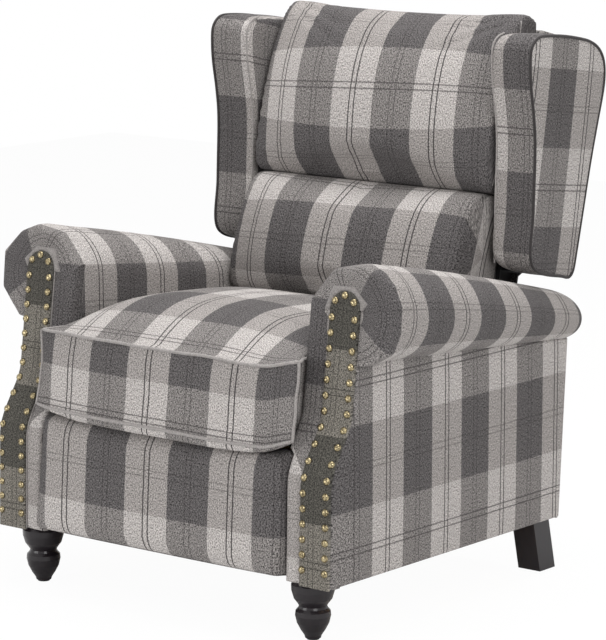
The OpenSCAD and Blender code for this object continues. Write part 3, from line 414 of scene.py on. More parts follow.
def stuffed(obj, voxel, held, cap, pressure, keep):
    """Blows a closed form up like a filled cover. held gives how firmly a point is sewn down,
    0 to 1; no point moves further than cap, and keep may move it back into its room."""
    mod = obj.modifiers.new("even", "REMESH")
    mod.mode = "VOXEL"
    mod.voxel_size = voxel * MM
    applied(obj)
    start = [v.co.copy() for v in obj.data.vertices]
    sewn = obj.vertex_groups.new(name="sewn")
    for vertex in obj.data.vertices:
        weight = held(vertex.co / MM)
        if weight > 0:
            sewn.add([vertex.index], weight, "REPLACE")
    mod = obj.modifiers.new("cover", "CLOTH")
    for key, value in COVER.items():
        setattr(mod.settings, key, value)
    mod.settings.uniform_pressure_force = pressure
    mod.settings.effector_weights.gravity = 0
    mod.collision_settings.use_collision = False
    scene = bpy.context.scene
    for number in range(1, FRAMES + 1):
        scene.frame_set(number)
    applied(obj)
    scene.frame_set(1)
    for vertex, first in zip(obj.data.vertices, start):
        moved = vertex.co - first
        if moved.length > cap * MM:
            vertex.co = first + moved * (cap * MM / moved.length)
        vertex.co = Vector(keep(vertex.co / MM)) * MM
    obj.vertex_groups.clear()
    obj.data.polygons.foreach_set("use_smooth", [True] * len(obj.data.polygons))
    return obj


# Arms: S-curved fronts, rolled tops that fold over the front in flat pleats
LEG_TOP, INNER_X, LOW_INNER_X, OUTER_X = 95, 250, 262, 355
FACE_TOP_Y, ARM_REAR_Y, ROLL_REAR_Y = -292, 264, 295
ROLL_X, ROLL_Z, ROLL_HALF_X, ROLL_HALF_Z = 335.5, 522, 85.5, 78
ARC_X, ARC_Z, ARC_R = 325, 528, 29
# The plaid's repeat measures less along the arms than across the front, and its rows fall
# towards the rear on the inner faces
ARM_WARP_MM, ROW_FALL, HUB_X = 157, 0.108, 335


def upper_front(z):
    return FACE_TOP_Y - 0.129 * (515 - z)


def front_y(z):
    return mix(upper_front(z), -368 + 0.023 * (z - LEG_TOP), ease((366 - z) / 114))


def rear_y(z):
    return ARM_REAR_Y + 17 * (z - LEG_TOP) / 301


def under_z(y):
    return mix(444, 396, max(0.0, (y - FACE_TOP_Y) / 573))


def along_roll(y):
    return clamp((y - FACE_TOP_Y) / (ROLL_REAR_Y - FACE_TOP_Y))


def roll_top(y):
    return mix(600, 480, along_roll(y) ** 1.2)


def inner_x(z):
    """The arm's inner face, which steps in above the cushion's underside."""
    return mix(LOW_INNER_X, INNER_X, ease((z - 303) / 3.7))


def panel(name, place, wide, high, thick, edge, count, puff=0.0):
    """A flat padded panel. place gives the point at two shares and a height over its
    backing; its face rises by puff in the middle and rounds off over edge at the sides."""
    # Shares from 0 to 1 that crowd towards both ends
    across, up = ([mix(i / c, 0.5 - 0.5 * math.cos(math.pi * i / c), 0.8)
                   for i in range(c + 1)] for c in count)
    points, n = [], len(up)
    for a in across:
        for b in up:
            near = min(a * wide, (1 - a) * wide, b * high, (1 - b) * high)
            turn = 1 - min(1.0, near / edge)
            rise = thick - edge * (1 - math.sqrt(max(0.0, 1 - turn * turn)))
            crown = (1 - (2 * a - 1) ** 4) * (1 - (2 * b - 1) ** 4)
            points.append(place(a, b, rise + puff * crown))
    total = len(points)
    points += [place(a, b, 0.0) for a in across for b in up]
    faces = []
    for i in range(len(across) - 1):
        for j in range(n - 1):
            q = (i * n + j, (i + 1) * n + j, (i + 1) * n + j + 1, i * n + j + 1)
            faces += [q, tuple(total + k for k in reversed(q))]
    rim = list(range(0, total, n)) + list(range(total - n + 1, total))
    rim += list(range(total - n - 1, 0, -n)) + list(range(n - 2, 0, -1))
    for a, b in zip(rim, rim[1:] + rim[:1]):
        faces.append((b, a, total + a, total + b))
    return outward(shape(name, points, faces))


# Outline of the roll's front, and where each corner's pleat starts at the nailed strip
ROLL_FRONT = [(372, 443), (407, 463), (421, 497), (423, 541), (409, 571), (384, 589),
              (350, 598), (291, 588), (251, 539), (250, 444)]
PLEAT_STARTS = [(354.5, 444), (354.5, 463), (354.5, 497), (357, 531), (362, 537), (365, 540),
                (338, 564), (297, 562), (283, 526), (290, 444)]
PLEATS = (6, 7, 8)
ROLL_SPOKES = 7
# The left roll is stuffed less at the front, so its pleats stay straight-sided
LEFT_ROLL_FRONT = [(372, 443), (396, 465), (419, 487), (421, 548), (402, 567), (384, 585),
                   *ROLL_FRONT[6:]]


def roll_round(y, corner):
    """Where a point of the front outline lies on the round section further back."""
    out, under = OUTER_X + mix(66, 26, along_roll(y)), under_z(y)
    cx, cz = (out + INNER_X) / 2, (roll_top(y) + under) / 2
    x, z = corner
    if z < 445:
        far = cx + (out - cx) * math.cos(math.radians(-75))
        return mix(INNER_X, far, (x - INNER_X) / 122), under
    if x < 300 and z < ROLL_Z:
        return INNER_X, mix(under, cz, (z - 444) / ROLL_HALF_Z)
    turn = math.atan2((z - ROLL_Z) / ROLL_HALF_Z, (x - ROLL_X) / ROLL_HALF_X)
    turn = max(turn, math.radians(-75)) if x > 300 else turn
    return cx + (out - cx) * math.cos(turn), cz + (roll_top(y) - cz) * math.sin(turn)


def roll_ring(depth, share, starts, corners):
    ring = []
    for start, corner in zip(starts, corners):
        octagon = 1 - ease((depth - 14) / 62)
        y = FACE_TOP_Y + depth
        x, z = (mix(r, c, octagon) for r, c in zip(roll_round(y, corner), corner))
        x, z = mix(start[0], x, share), mix(start[1], z, share)
        ring.append((x, mix(upper_front(z) + depth, y, ease(depth / 90)), z))
    return ring


def arm_roll(front=ROLL_FRONT):
    starts, corners = ([tuple(mix(p, q, k / ROLL_SPOKES) for p, q in zip(a, b))
                        for a, b in zip(given, given[1:] + given[:1])
                        for k in range(ROLL_SPOKES)] for given in (PLEAT_STARTS, front))
    rings = []
    for depth, share in ((-0.3, 0.0), (-1.6, 0.3), (-1.6, 0.62), (0.5, 0.86), (4.5, 0.97),
                         (11, 1.0), (20, 1.0)):
        ring = roll_ring(max(depth, 0), share, starts, corners)
        rings.append([(x, y + min(depth, 0), z) for x, y, z in ring])
    # The folds between the flat pleats
    for at, deep in ((1, 1.2), (2, 1.8), (3, 1.8), (4, 1.2)):
        for i in PLEATS:
            x, y, z = rings[at][i * ROLL_SPOKES]
            rings[at][i * ROLL_SPOKES] = (x, y + deep, z)
    for depth in (34, 50, 68, 90, 120, 160, 205, 250, 300, 350, 400, 450, 500, 530, 550):
        rings.append(roll_ring(depth, 1.0, starts, corners))
    for depth, share in ((562, 0.996), (571, 0.983), (578, 0.96), (583, 0.925), (586, 0.87),
                         (587, 0.75), (587.3, 0.35)):
        ring = roll_ring(depth, 1.0, starts, corners)
        mx, mz = (sum(p[k] for p in ring) / len(ring) for k in (0, 2))
        rings.append([(mix(mx, p[0], share), p[1], mix(mz, p[2], share)) for p in ring])
    return fine(outward(shape("arm_roll_cover_right", *skin(rings))))


def near_turn(turn, hub):
    """The same angle as turn, within half a turn of hub."""
    return turn + 2 * math.pi * ((hub - turn > math.pi) - (turn - hub > math.pi))


def roll_chart(side, p, normal, middle):
    x, y, z = abs(p.x), p.y, p.z
    hub, turn = (math.atan2(at.z - (roll_top(at.y) + under_z(at.y)) / 2, abs(at.x) - HUB_X)
                 for at in (middle, p))
    if abs(middle.x) < 320 and hub < -1.35:
        hub += 2 * math.pi
    turn = near_turn(turn, hub)
    reach = math.hypot((x - HUB_X) / ROLL_HALF_X, (z - ROLL_Z) / ROLL_HALF_Z)
    fold = max(0.0, 1.03 - reach) * 80 if y < upper_front(z) + 14 else 0.0
    shift = 26 * ease((math.degrees(turn) - 20) / 90)
    level = 758 - ROW_FALL * (y + 290) - z if x < 300 and z < 560 else 75 * turn
    start = -235 if side > 0 else -252
    return (y - shift - start - fold) / ARM_WARP_MM, (level - 17.7) / WEFT_MM + 0.5


def arm_piece(build, name, body, finish, chart=None, stands_for=(), other=None):
    """Makes a piece for the right arm and its mirror image for the left, unless the left one
    has a form of its own."""
    right = build()
    right.name = f"{name}_right"
    source = other() if other else right
    left = mirrored(source, f"{name}_left")
    if other:
        bpy.data.objects.remove(source)
    for obj, side, word in ((right, 1, "right"), (left, -1, "left")):
        dress(obj, body, finish, (lambda *at: chart(side, *at)) if chart else None,
              [s.format(word) for s in stands_for])


def outer_panel():
    def place(a, b, h):
        z = mix(LEG_TOP, 445, b)
        y = mix(front_y(z) + 1, rear_y(z) + 0.5, a)
        return OUTER_X - 8 + h, y, mix(LEG_TOP, under_z(y) + 9, b)
    return panel("outer", place, 640, 340, 8, 5, (60, 44), 1.8)


def rear_edge_panel():
    def place(a, b, h):
        z = mix(LEG_TOP, 396, b)
        return mix(OUTER_X - 1, 270, a), rear_y(z) - 8 + h, z
    return panel("rear", place, 84, 300, 8.6, 5, (10, 30), 0.8)


def outer_chart(side, p, normal, middle):
    on_side = abs(normal.x) > 0.5 or middle.y < 200
    across = p.y if on_side else 2 * ARM_REAR_Y - p.y + OUTER_X - abs(p.x)
    if across < -300:
        across = mix(-300, across, 0.55)
    return (across + 222) / 156.5, (p.z - 147) / 268


def inner_panel():
    def place(a, b, h):
        guess = mix(LEG_TOP, 444, b)
        y = mix(front_y(guess) + 24, rear_y(guess) - 9, a)
        z = mix(LEG_TOP, under_z(y), b)
        return inner_x(z) + 19 - h, y, z
    return panel("inner", place, 600, 340, 19, 4, (50, 60))


def inner_chart(side, p, normal, middle):
    start = 209 if side > 0 else 226
    return (p.y + start) / ARM_WARP_MM, (474 - ROW_FALL * (p.y + 290) - p.z) / WEFT_MM + 0.5


def border_panel():
    """Padded border of the arm's front, beside and behind the nailed strip."""
    def place(a, b, h):
        x = mix(inner_x(mix(LEG_TOP, 470, b)) + 0.3, OUTER_X - 0.6, a)
        top = 539 - 0.4 * (x - INNER_X) if x < 296 else mix(520, 444, ease((x - 296) / 12))
        z = mix(LEG_TOP, top, b)
        x = mix(inner_x(z) + 0.3, OUTER_X - 0.6, a)
        dip = 1.6 * ease((x - 284) / 10) if h > 0 else 0
        return x, front_y(z) + 24.5 - h + dip, z
    return panel("border", place, 95, 440, 25.8, 10, (30, 80), 0.6)


def border_chart(side, p, normal, middle):
    x = abs(p.x) if abs(normal.x) < 0.7 else abs(p.x) - 0.6 * (p.y - front_y(p.z))
    edge = mix(236, 297, ease((345 - p.z) / 85))
    return (edge - x) / 160 - 0.256, (p.z - 338) / WEFT_MM


def facing_strip():
    def place(a, b, h):
        span = ARC_Z - LEG_TOP
        at = b * (span + ARC_R * math.pi / 2)
        turn = max(0.0, (at - span) / ARC_R)
        z, half = LEG_TOP + min(at, span) + ARC_R * math.sin(turn), ARC_R * math.cos(turn)
        return ARC_X + half * (2 * a - 1), front_y(z) - h - 0.2, z
    return panel("strip", place, 58, 478, 5.9, 2.4, (16, 130), 0.4)


def strip_chart(side, p, normal, middle):
    return (abs(p.x) - 319) / 160 + 0.5, (p.z - 399) / WEFT_MM


def arch_band():
    """Light band that frames the arch of the strip in straight folds. Its cloth is the pale cord
    cloth darkened with painted shade.
    """
    corners = [(358.5, 529, 3), (366, 540, 24), (338.5, 564, 62), (297, 562.5, 125),
               (282.5, 525, 184)]
    rings = []
    for first, last in zip(corners, corners[1:]):
        for k in range(9):
            x, z, turn = (mix(p, q, k / 8) for p, q in zip(first, last))
            turn = math.radians(turn)
            near_x, near_z = ARC_X + 28.4 * math.cos(turn), ARC_Z + 28.4 * math.sin(turn)
            seam = 0.7 * (1 - ease(min(k, 8 - k) / 1.5))
            ring = []
            for share, rise in ((0, -2.5), (0, 3.0), (0.3, 4.2), (0.75, 3.6), (1, 1.4), (1, -2.5)):
                pz = mix(near_z, z, share)
                ring.append((mix(near_x, x, share), upper_front(pz) - rise + seam, pz))
            rings.append(ring)
    return outward(shape("arch", *skin(rings)))


def strip_edge():
    """Thin light fold along the strip's inner edge, in the arch band's cloth with its painted
    shade.
    """
    route = [(ARC_X - ARC_R - 1.4, front_y(z) - 1.2, z)
             for z in (mix(97, 527, i / 90) for i in range(91))]
    return tube("edge", route, 1.4)


# How far each row lies from the strip's middle, its pitch and number of heads
NAIL_ROW, NAILS_APART, NAILS_DOWN, NAIL_SIDES = 22.5, 24.5, 17, 18


def nail_heads():
    """Domed heads in a row down each side of the strip and round its arch."""
    spots = [(ARC_X + s * NAIL_ROW, ARC_Z - 13.5 - NAILS_APART * i)
             for i in range(NAILS_DOWN) for s in (1, -1)]
    spots += [(ARC_X + NAIL_ROW * math.cos(a), ARC_Z + NAIL_ROW * math.sin(a))
              for a in map(math.radians, (35, 90, 145))]
    points, faces = [], []
    for x, z in spots:
        tilt = math.atan2(front_y(z + 4) - front_y(z - 4), 8)
        rings = []
        for reach, rise in ((6.0, -0.8), (6.2, 0.2), (6.15, 0.9), (5.7, 2.1), (4.8, 3.2),
                            (3.4, 4.1), (1.7, 4.6)):
            ring = []
            for k in range(NAIL_SIDES):
                a = 2 * math.pi * k / NAIL_SIDES
                up = reach * math.sin(a)
                ring.append((x + reach * math.cos(a),
                             front_y(z) - 6.2 - rise * math.cos(tilt) + up * math.sin(tilt),
                             z + up * math.cos(tilt) + rise * math.sin(tilt)))
            rings.append(ring)
        made, around = skin(rings)
        faces += [tuple(len(points) + k for k in face) for face in around]
        points += made
    return outward(shape("heads", points, faces))


arm_piece(arm_roll, "arm_roll_cover", "base", tweed, roll_chart, ["arm_roll_{}"],
          lambda: arm_roll(LEFT_ROLL_FRONT))
arm_piece(nail_heads, "nail_heads", "base", slot_finishes["antique_brass"], None,
          ["facing_nails_{}"])
arm_piece(outer_panel, "arm_outer_cover", "base", tweed, outer_chart, ["arm_outer_panel_{}"])
arm_piece(rear_edge_panel, "arm_rear_cover", "base", tweed, outer_chart, [])
arm_piece(inner_panel, "arm_inner_cover", "base", tweed, inner_chart, ["arm_inner_panel_{}"])
arm_piece(border_panel, "arm_border_cover", "base", tweed, border_chart,
          ["arm_front_panel_{}"])
arm_piece(facing_strip, "nailed_strip", "base", facing_tweed, strip_chart, ["arm_facing_{}"])
arm_piece(arch_band, "arch_band", "base", painted_shade_band_cloth)
arm_piece(strip_edge, "strip_edge_fold", "base", painted_shade_band_cloth)


# Seat cushion: a domed, boxed cushion with ears in front of the arms
CUSHION_FRONT_Y, CUSHION_REAR_Y, CUSHION_LOW_Z, CUSHION_SEAM_Z = -350, 145, 307, 447
CUSHION_HIGH = CUSHION_SEAM_Z - CUSHION_LOW_Z
# Half widths across the ears and the body, and the middle of its depth
EAR_X, BODY_X, MID_Y = 280, 247, -102.5


def seam_z(y):
    along = clamp((y - CUSHION_FRONT_Y) / (CUSHION_REAR_Y - CUSHION_FRONT_Y))
    return mix(CUSHION_SEAM_Z, 418, along)


def ear_rear(z):
    """Where the ears end, just in front of the arms."""
    return min(front_y(z), front_y(CUSHION_SEAM_Z)) - 3


def cushion_outline(z, draw):
    """Half outline from the front middle to the rear middle, then mirrored."""
    t = clamp((CUSHION_SEAM_Z - z) / CUSHION_HIGH)
    fy = CUSHION_FRONT_Y - 17 * t + draw
    ear_back = ear_rear(z)
    hx, bx, q = EAR_X - draw, BODY_X - draw, 40
    half = [(x, fy - 16 * (1 - (x / hx) ** 2)) for x in ((hx - 9) * i / 22 for i in range(23))]
    half += [(hx - 5, fy + 0.4), (hx - 1.6, fy + 2.4), (hx, fy + 6)]
    # Each ear's side runs back to the body at a slant, in front of the arm
    half += [(mix(hx, bx + 2, t), mix(fy + 6, ear_back - draw, t))
             for t in (0.2, 0.4, 0.6, 0.8, 1)]
    half += [(bx, mix(ear_back, CUSHION_REAR_Y - q, i / 14)) for i in range(1, 15)]
    half += [(bx - q + q * math.cos(a), CUSHION_REAR_Y - draw - q + q * math.sin(a))
             for a in (math.pi / 2 * i / 5 for i in range(1, 6))]
    half += [((bx - q) * (1 - i / 6), CUSHION_REAR_Y - draw) for i in range(1, 7)]
    return half + [(-x, y) for x, y in half[-2:0:-1]]


def dome(x, y):
    reach = abs(y - MID_Y) / (CUSHION_REAR_Y - MID_Y)
    return ((1 - min(1, abs(x) / (BODY_X + 12)) ** 4.2)
            * (1 - min(1, reach) ** (3 if y > MID_Y else 4)))


def cushion_form(crown=58, inset=2.0):
    rings = []
    for share in (0.35, 0.7):
        rings.append([(x * share, mix(MID_Y, y, share), CUSHION_LOW_Z + inset)
                      for x, y in cushion_outline(CUSHION_LOW_Z, 0)])
    # Below the lower welt the underside hangs in a soft belly along the front
    for back, drop in ((30, 0), (22, 5), (14, 12), (7, 15), (2, 11), (0, 1)):
        ring = []
        for x, y in cushion_outline(CUSHION_LOW_Z, 0):
            front = ease((-330 - y) / 20)
            hang = drop * front * (1 - min(1, abs(x) / 276) ** 4)
            ring.append((x * (1 - back / 280), y + back * (1 if y < MID_Y else -1),
                         CUSHION_LOW_Z + (inset if front < 0.5 else 1) - hang))
        rings.append(ring)
    for s in (0.06, 0.2, 0.35, 0.5, 0.65, 0.8, 0.94):
        draw = inset + 3 * math.sin(math.pi * s)
        rings.append([(x, y, mix(CUSHION_LOW_Z, seam_z(y), s))
                      for x, y in cushion_outline(mix(CUSHION_LOW_Z, CUSHION_SEAM_Z, s), draw)])
    for share in (0, 0.03, 0.07, 0.12, 0.18, 0.26, 0.35, 0.46, 0.58, 0.72, 0.86):
        ring = []
        for x, y in cushion_outline(CUSHION_SEAM_Z, 0):
            px, py = x * (1 - share), mix(y, MID_Y, share)
            if abs(px) > BODY_X and share > 0:
                py = min(py, front_y(CUSHION_SEAM_Z) - 5)
            ring.append((px, py, seam_z(py) + crown * dome(px, py)))
        rings.append(ring)
    return outward(shape("seat_cushion_cover", *skin(rings)))


def cushion_cover():
    def held(p):
        if p.z < CUSHION_LOW_Z + 6:
            return 1.0
        on_edge = abs(p.x) > BODY_X - 7 or p.y < -340 or p.y > CUSHION_REAR_Y - 8
        if on_edge and abs(p.z - seam_z(p.y)) < 6:
            return 0.96
        return 0.25 if p.y > -330 and abs(p.x) > BODY_X - 12 else 0.0

    def keep(p):
        x, y, z = p
        y = max(y, -386.5)
        if y > ear_rear(z):
            x = max(-BODY_X - 1.5, min(BODY_X + 1.5, x))
        lowest = CUSHION_LOW_Z - (16 if y < -345 else -0.3)
        return x, min(y, CUSHION_REAR_Y + 2), max(z, lowest)
    return stuffed(cushion_form(), 6.5, held, cap=14, pressure=3.2, keep=keep)


def cushion_chart(p, normal, middle):
    if middle.z > seam_z(middle.y) + 1.5 or normal.z > 0.75:
        rise = min(max(0.0, p.z - seam_z(p.y)), 48)
        along = p.y - CUSHION_FRONT_Y + (0.75 * rise if p.y < MID_Y else 72 - 0.75 * rise)
        spread = p.x * (1 + 0.0009 * max(0, abs(p.x) - 150))
        return (spread + 17) / 174, (along - 20) / WEFT_MM
    level = (p.z - 322) / WEFT_MM
    if abs(normal.x) > 0.75:
        return (p.y + 350 + 263) / 174, level
    return (p.x + 0.35 * max(0, p.x - 235) + 18) / 175, level


def settle(obj):
    """Lets the cushion's front sink as it does in use, most just before its right corner."""
    for vertex in obj.data.vertices:
        x, y, z = vertex.co / MM
        front, high = 1 - ease((y + 350) / 130), clamp((z - CUSHION_LOW_Z) / CUSHION_HIGH)
        upper = 8 + 4 * ease((x - 80) / 110) - 14 * ease((x - 205) / 75)
        lower = 3 * ease(x / 150) - 12 * ease((x - 215) / 65)
        vertex.co.z -= mix(lower, upper, high) * front * MM
    obj.data.update()
    return obj


cushion = cushion_cover()
cushion_skin = surface_of(cushion)
dress(cushion, "seat", tweed, cushion_chart, ["seat_cushion"])
settle(cushion)


def cushion_welt(name, route, radius, sides, proud, lift, times, closed):
    """Sews a welt on to the cushion along a route near its skin."""
    route = [p + Vector((0, 0, lift)) for p in snapped(cushion_skin, route, proud)]
    cord = tube(f"cushion_welt_{name}", calm(route, times, closed), radius, sides, closed)
    dress(settle(cord), "seat", pale_cord)


for name, z_of, proud, lift in (("upper", seam_z, 0.8, 0),
                                ("lower", lambda y: CUSHION_LOW_Z, 0.6, 3.4)):
    outline = cushion_outline(z_of(CUSHION_FRONT_Y), 0)
    cushion_welt(name, smoothed([(x, y, z_of(y)) for x, y in outline], 260), 2.8, 10, proud,
                 lift, 3, True)
for side, word in ((1, "right"), (-1, "left")):
    cushion_welt(f"corner_{word}", [
        (side * (EAR_X + 1), CUSHION_FRONT_Y - 17 * (CUSHION_SEAM_Z - z) / CUSHION_HIGH + 3, z)
        for z in (mix(CUSHION_LOW_Z + 5, 445, i / 18) for i in range(19))],
        2.6, 8, 0.8, 0, 2, False)


# Footrest: a firm pad with rounded edges
FOOT_Y, FOOT_Z, FOOT_H, FOOT_X = -344, 100, 199, 260
LEAN = math.radians(6.8)


def on_footrest(x, deep, up):
    """A point by its distance in front of the board's back and its height on the board."""
    return (x, FOOT_Y - deep * math.cos(LEAN) + up * math.sin(LEAN),
            FOOT_Z + up * math.cos(LEAN) + deep * math.sin(LEAN))


def before_board(p):
    """How far a point lies in front of the board's back, along the floor."""
    return FOOT_Y - p.y + (p.z - FOOT_Z) * math.tan(LEAN)


def rounded(hx, hz, r):
    """Rounded rectangle about the middle, with the same number of points at any size."""
    made = []
    for sx, sz, start, steps in ((1, 1, 0, 30), (-1, 1, 90, 12), (-1, -1, 180, 30),
                                 (1, -1, 270, 12)):
        for turn in (math.radians(start + 18 * i) for i in range(6)):
            made.append((sx * (hx - r) + r * math.cos(turn), sz * (hz - r) + r * math.sin(turn)))
        x, z = made[-1]
        far_x = 2 * (hx - r) * (-sx if sx == sz else 0)
        far_z = 2 * (hz - r) * (-sz if sx != sz else 0)
        made += [(x + far_x * k / steps, z + far_z * k / steps) for k in range(1, steps)]
    return made


def footrest_cover():
    middle = FOOT_H / 2
    rings = []
    # Each ring's depth, inset, corner radius and how far its top dips under the cushion
    for deep, inset, corner, dip in (
            (-0.4, 60, 4, 0), (-0.4, 1.6, 4, 0), (0.6, -0.4, 4, 0), (12.8, -0.4, 5, 0),
            (24, 0, 8, 1.5), (36, 0.8, 8, 5), (43, 2.4, 8, 8), (46.3, 6, 8, 9),
            (48.2, 12, 7, 8), (49.2, 24, 6, 5), (49.8, 42, 5, 2), (50.2, 65, 4, 0)):
        rings.append([on_footrest(x, deep, middle + z - dip * max(0, z / middle))
                      for x, z in rounded(FOOT_X - inset, middle - inset, corner)])

    def held(p):
        return 1.0 if before_board(p) * math.cos(LEAN) < 20 else 0.0

    def keep(p):
        return max(-261, min(261, p.x)), p.y, max(99, min(p.z, 303.5))
    form = outward(shape("footrest_cover", *skin(rings)))
    return stuffed(form, 5.5, held, cap=3, pressure=0.6, keep=keep)


def footrest_chart(p, normal, middle):
    shift = mix(10, 0, clamp((p.z - 100) / 199))
    behind = max(0.0, 40 - before_board(p))
    wrap = math.copysign(0.6 * behind * ease((abs(p.x) - 225) / 30), p.x)
    return (p.x + wrap + 17.5 - shift) / 178, (p.z - 100) / WEFT_MM


def footrest_lining():
    """Black lining stapled over the back of the footrest."""
    def place(a, b, h):
        return on_footrest(mix(-254, 254, a), -0.3 - h, mix(4, FOOT_H - 4, b))
    return panel("footrest_back_lining", place, 508, 191, 0.9, 0.8, (24, 12))


dress(footrest_cover(), "footrest", tweed, footrest_chart, ["footrest_pad"])
dress(footrest_lining(), "footrest", black_cloth)


# Back: drawn upright about the recline pivot, n forward and w up, then leaned
PIVOT_Y, PIVOT_Z = 240, 345
SIN_LEAN, COS_LEAN = math.sin(math.radians(13)), math.cos(math.radians(13))
# Where the pillows' backs lie, and how much slimmer they are before they are stuffed
PILLOW_N, SLIM = 45.2, 5


def on_back(x, n, w):
    return (x, PIVOT_Y - n * COS_LEAN + w * SIN_LEAN, PIVOT_Z + n * SIN_LEAN + w * COS_LEAN)


def from_back(p):
    """(n, w) of a point."""
    y, z = p[1] - PIVOT_Y, p[2] - PIVOT_Z
    return -y * COS_LEAN + z * SIN_LEAN, y * SIN_LEAN + z * COS_LEAN


LUMBAR = {"name": "lumbar_pillow_cover", "half": 247.5, "thick": 132, "low": 72, "high": 216,
          "profile": [(0, 0.13), (0.3, 0.07), (0.6, 0.02), (0.84, 0), (0.95, 0.06), (1, 0.18),
                      (1, 0.36), (0.97, 0.55), (0.9, 0.75), (0.79, 0.92), (0.66, 0.985),
                      (0.5, 1), (0.25, 1), (0, 1)]}
HEAD = {"name": "head_pillow_cover", "half": 258, "thick": 95, "low": 288.6, "high": 310,
        "profile": [(0, 0), (0.35, 0), (0.68, 0), (0.85, 0.012), (0.95, 0.06), (0.99, 0.14),
                    (1, 0.26), (0.99, 0.4), (0.96, 0.55), (0.89, 0.7), (0.78, 0.83),
                    (0.63, 0.94), (0.42, 1), (0.2, 1), (0, 0.97)]}


def end_share(s):
    """How full the pillow is across the chair, from 1 in the middle to less at its ends."""
    for (a, b), (c, d) in zip(((0, 1), (0.75, 1), (0.92, 0.998), (0.98, 0.99)),
                              ((0.75, 1), (0.92, 0.998), (0.98, 0.99), (1, 0.965))):
        if abs(s) <= c:
            return mix(b, d, (abs(s) - a) / (c - a))
    return 0.965


def pillow_profile(kind, count):
    return smoothed([(kind["thick"] * n, kind["high"] * w) for n, w in kind["profile"]], count,
                    False)


def pillow_form(kind, dip=0.0):
    profile = pillow_profile(kind, 44)
    base = kind["high"] / 2
    rings = []
    for i in range(33):
        s = math.sin(math.pi / 2 * (2 * i / 32 - 1))
        k = end_share(s)
        ring = []
        for n, w in profile:
            sag = dip * (1 - min(1, abs(s) / 0.8) ** 2) * ease((w - base) / base) \
                * clamp(1.3 - n / kind["thick"])
            size = mix(1, k, 0.5) if w < base else k
            ring.append(on_back((kind["half"] - SLIM) * s,
                                PILLOW_N + (n - (SLIM if n > 20 else 0)) * size,
                                kind["low"] + base + (w - base) * mix(k, 1, 0.6) - sag))
        top, bottom = from_back(ring[-1])[1], from_back(ring[0])[1]
        ring += [on_back((kind["half"] - SLIM) * s, PILLOW_N, mix(top, bottom, j / 9))
                 for j in range(1, 9)]
        rings.append(ring)
    return outward(shape(kind["name"], *skin(rings)))


def gusset_seam(kind, w):
    """How far forward the seam of an end gusset lies at a height."""
    return PILLOW_N + kind["thick"] * mix(0.72, 0.5, (w - kind["low"]) / kind["high"])


def cut_gussets(obj, kind):
    """Cuts the faces at both ends along the gussets' seams."""
    low, high = (Vector(on_back(0, gusset_seam(kind, w), w)) * MM for w in (100, 300))
    mesh = bmesh.new()
    mesh.from_mesh(obj.data)
    ends = [f for f in mesh.faces
            if abs(f.calc_center_median().x) > (kind["half"] - 30) * MM]
    part = {e for f in ends for e in f.edges} | {v for f in ends for v in f.verts} | set(ends)
    bmesh.ops.bisect_plane(mesh, geom=list(part), dist=1e-6, plane_co=low,
                           plane_no=(high - low).cross(Vector((1, 0, 0))).normalized())
    mesh.to_mesh(obj.data)
    mesh.free()


def pillow_chart(kind, warp_at, warp_mm, weft_at, lean, rise, gusset):
    """Plaid that runs up the face and over the top, measured along the profile. A light
    stripe's middle lies at warp_at and weft_at; lean and rise say how the stripes slant, and
    gusset the stripe at which the ends begin."""
    profile = pillow_profile(kind, 60)
    hub = (0.42 * kind["thick"], kind["high"] / 2)
    table, run = [], 0.0
    for last, (n, w) in zip(profile[:1] + profile, profile):
        run += math.dist(last, (n, w))
        turn = math.atan2(w - hub[1], n - hub[0])
        table.append((turn if turn > -2.6 and not (table and turn < table[-1][0] - 3)
                      else turn + 2 * math.pi, run))
    table.sort()
    face = sorted((w, n) for n, w in profile if n > 0.4 * kind["thick"])

    def depth(n, w):
        """How far a point lies behind the pillow's face."""
        reach = 0
        for (a, b), (c, d) in zip(face, face[1:]):
            if a <= w - kind["low"] <= c:
                reach = mix(b, d, (w - kind["low"] - a) / max(1e-6, c - a))
        return max(0.0, reach + PILLOW_N - n)

    def chart(p, normal, middle):
        n, w = from_back(p)
        mn, mw = from_back(middle)
        turn, around = (math.atan2(up - kind["low"] - hub[1], out - PILLOW_N - hub[0])
                        for out, up in ((n, w), (mn, mw)))
        if around < table[0][0] - 0.4:
            around += 2 * math.pi
        turn = near_turn(turn, around)
        at = table[-1][1] + 60 * (turn - table[-1][0])
        if turn <= table[0][0]:
            at = 60 * (turn - table[0][0])
        else:
            for (a, b), (c, d) in zip(table, table[1:]):
                if a <= turn <= c:
                    at = mix(b, d, (turn - a) / max(1e-6, c - a))
                    break
        shift = mix(lean[0], lean[1], ease((at + 10) / 320)) * (0.5 - p.x / 500 * lean[2])
        at -= rise[0] + rise[1] * p.x / 200
        if mn < gusset_seam(kind, mw) and abs(middle.x) > kind["half"] - 12:
            return gusset + depth(n, w) / warp_mm, (at - weft_at) / WEFT_MM
        # The cloth is pulled round the left end, and wraps the right one as far as the seam
        x = p.x - 0.4 * max(0.0, -175 - p.x)
        x += 0.2 * min(38, max(0.0, depth(n, w) - 8)) * ease((p.x - kind["half"] + 22) / 20)
        return (x - shift - warp_at) / warp_mm, (at - weft_at) / WEFT_MM
    return chart


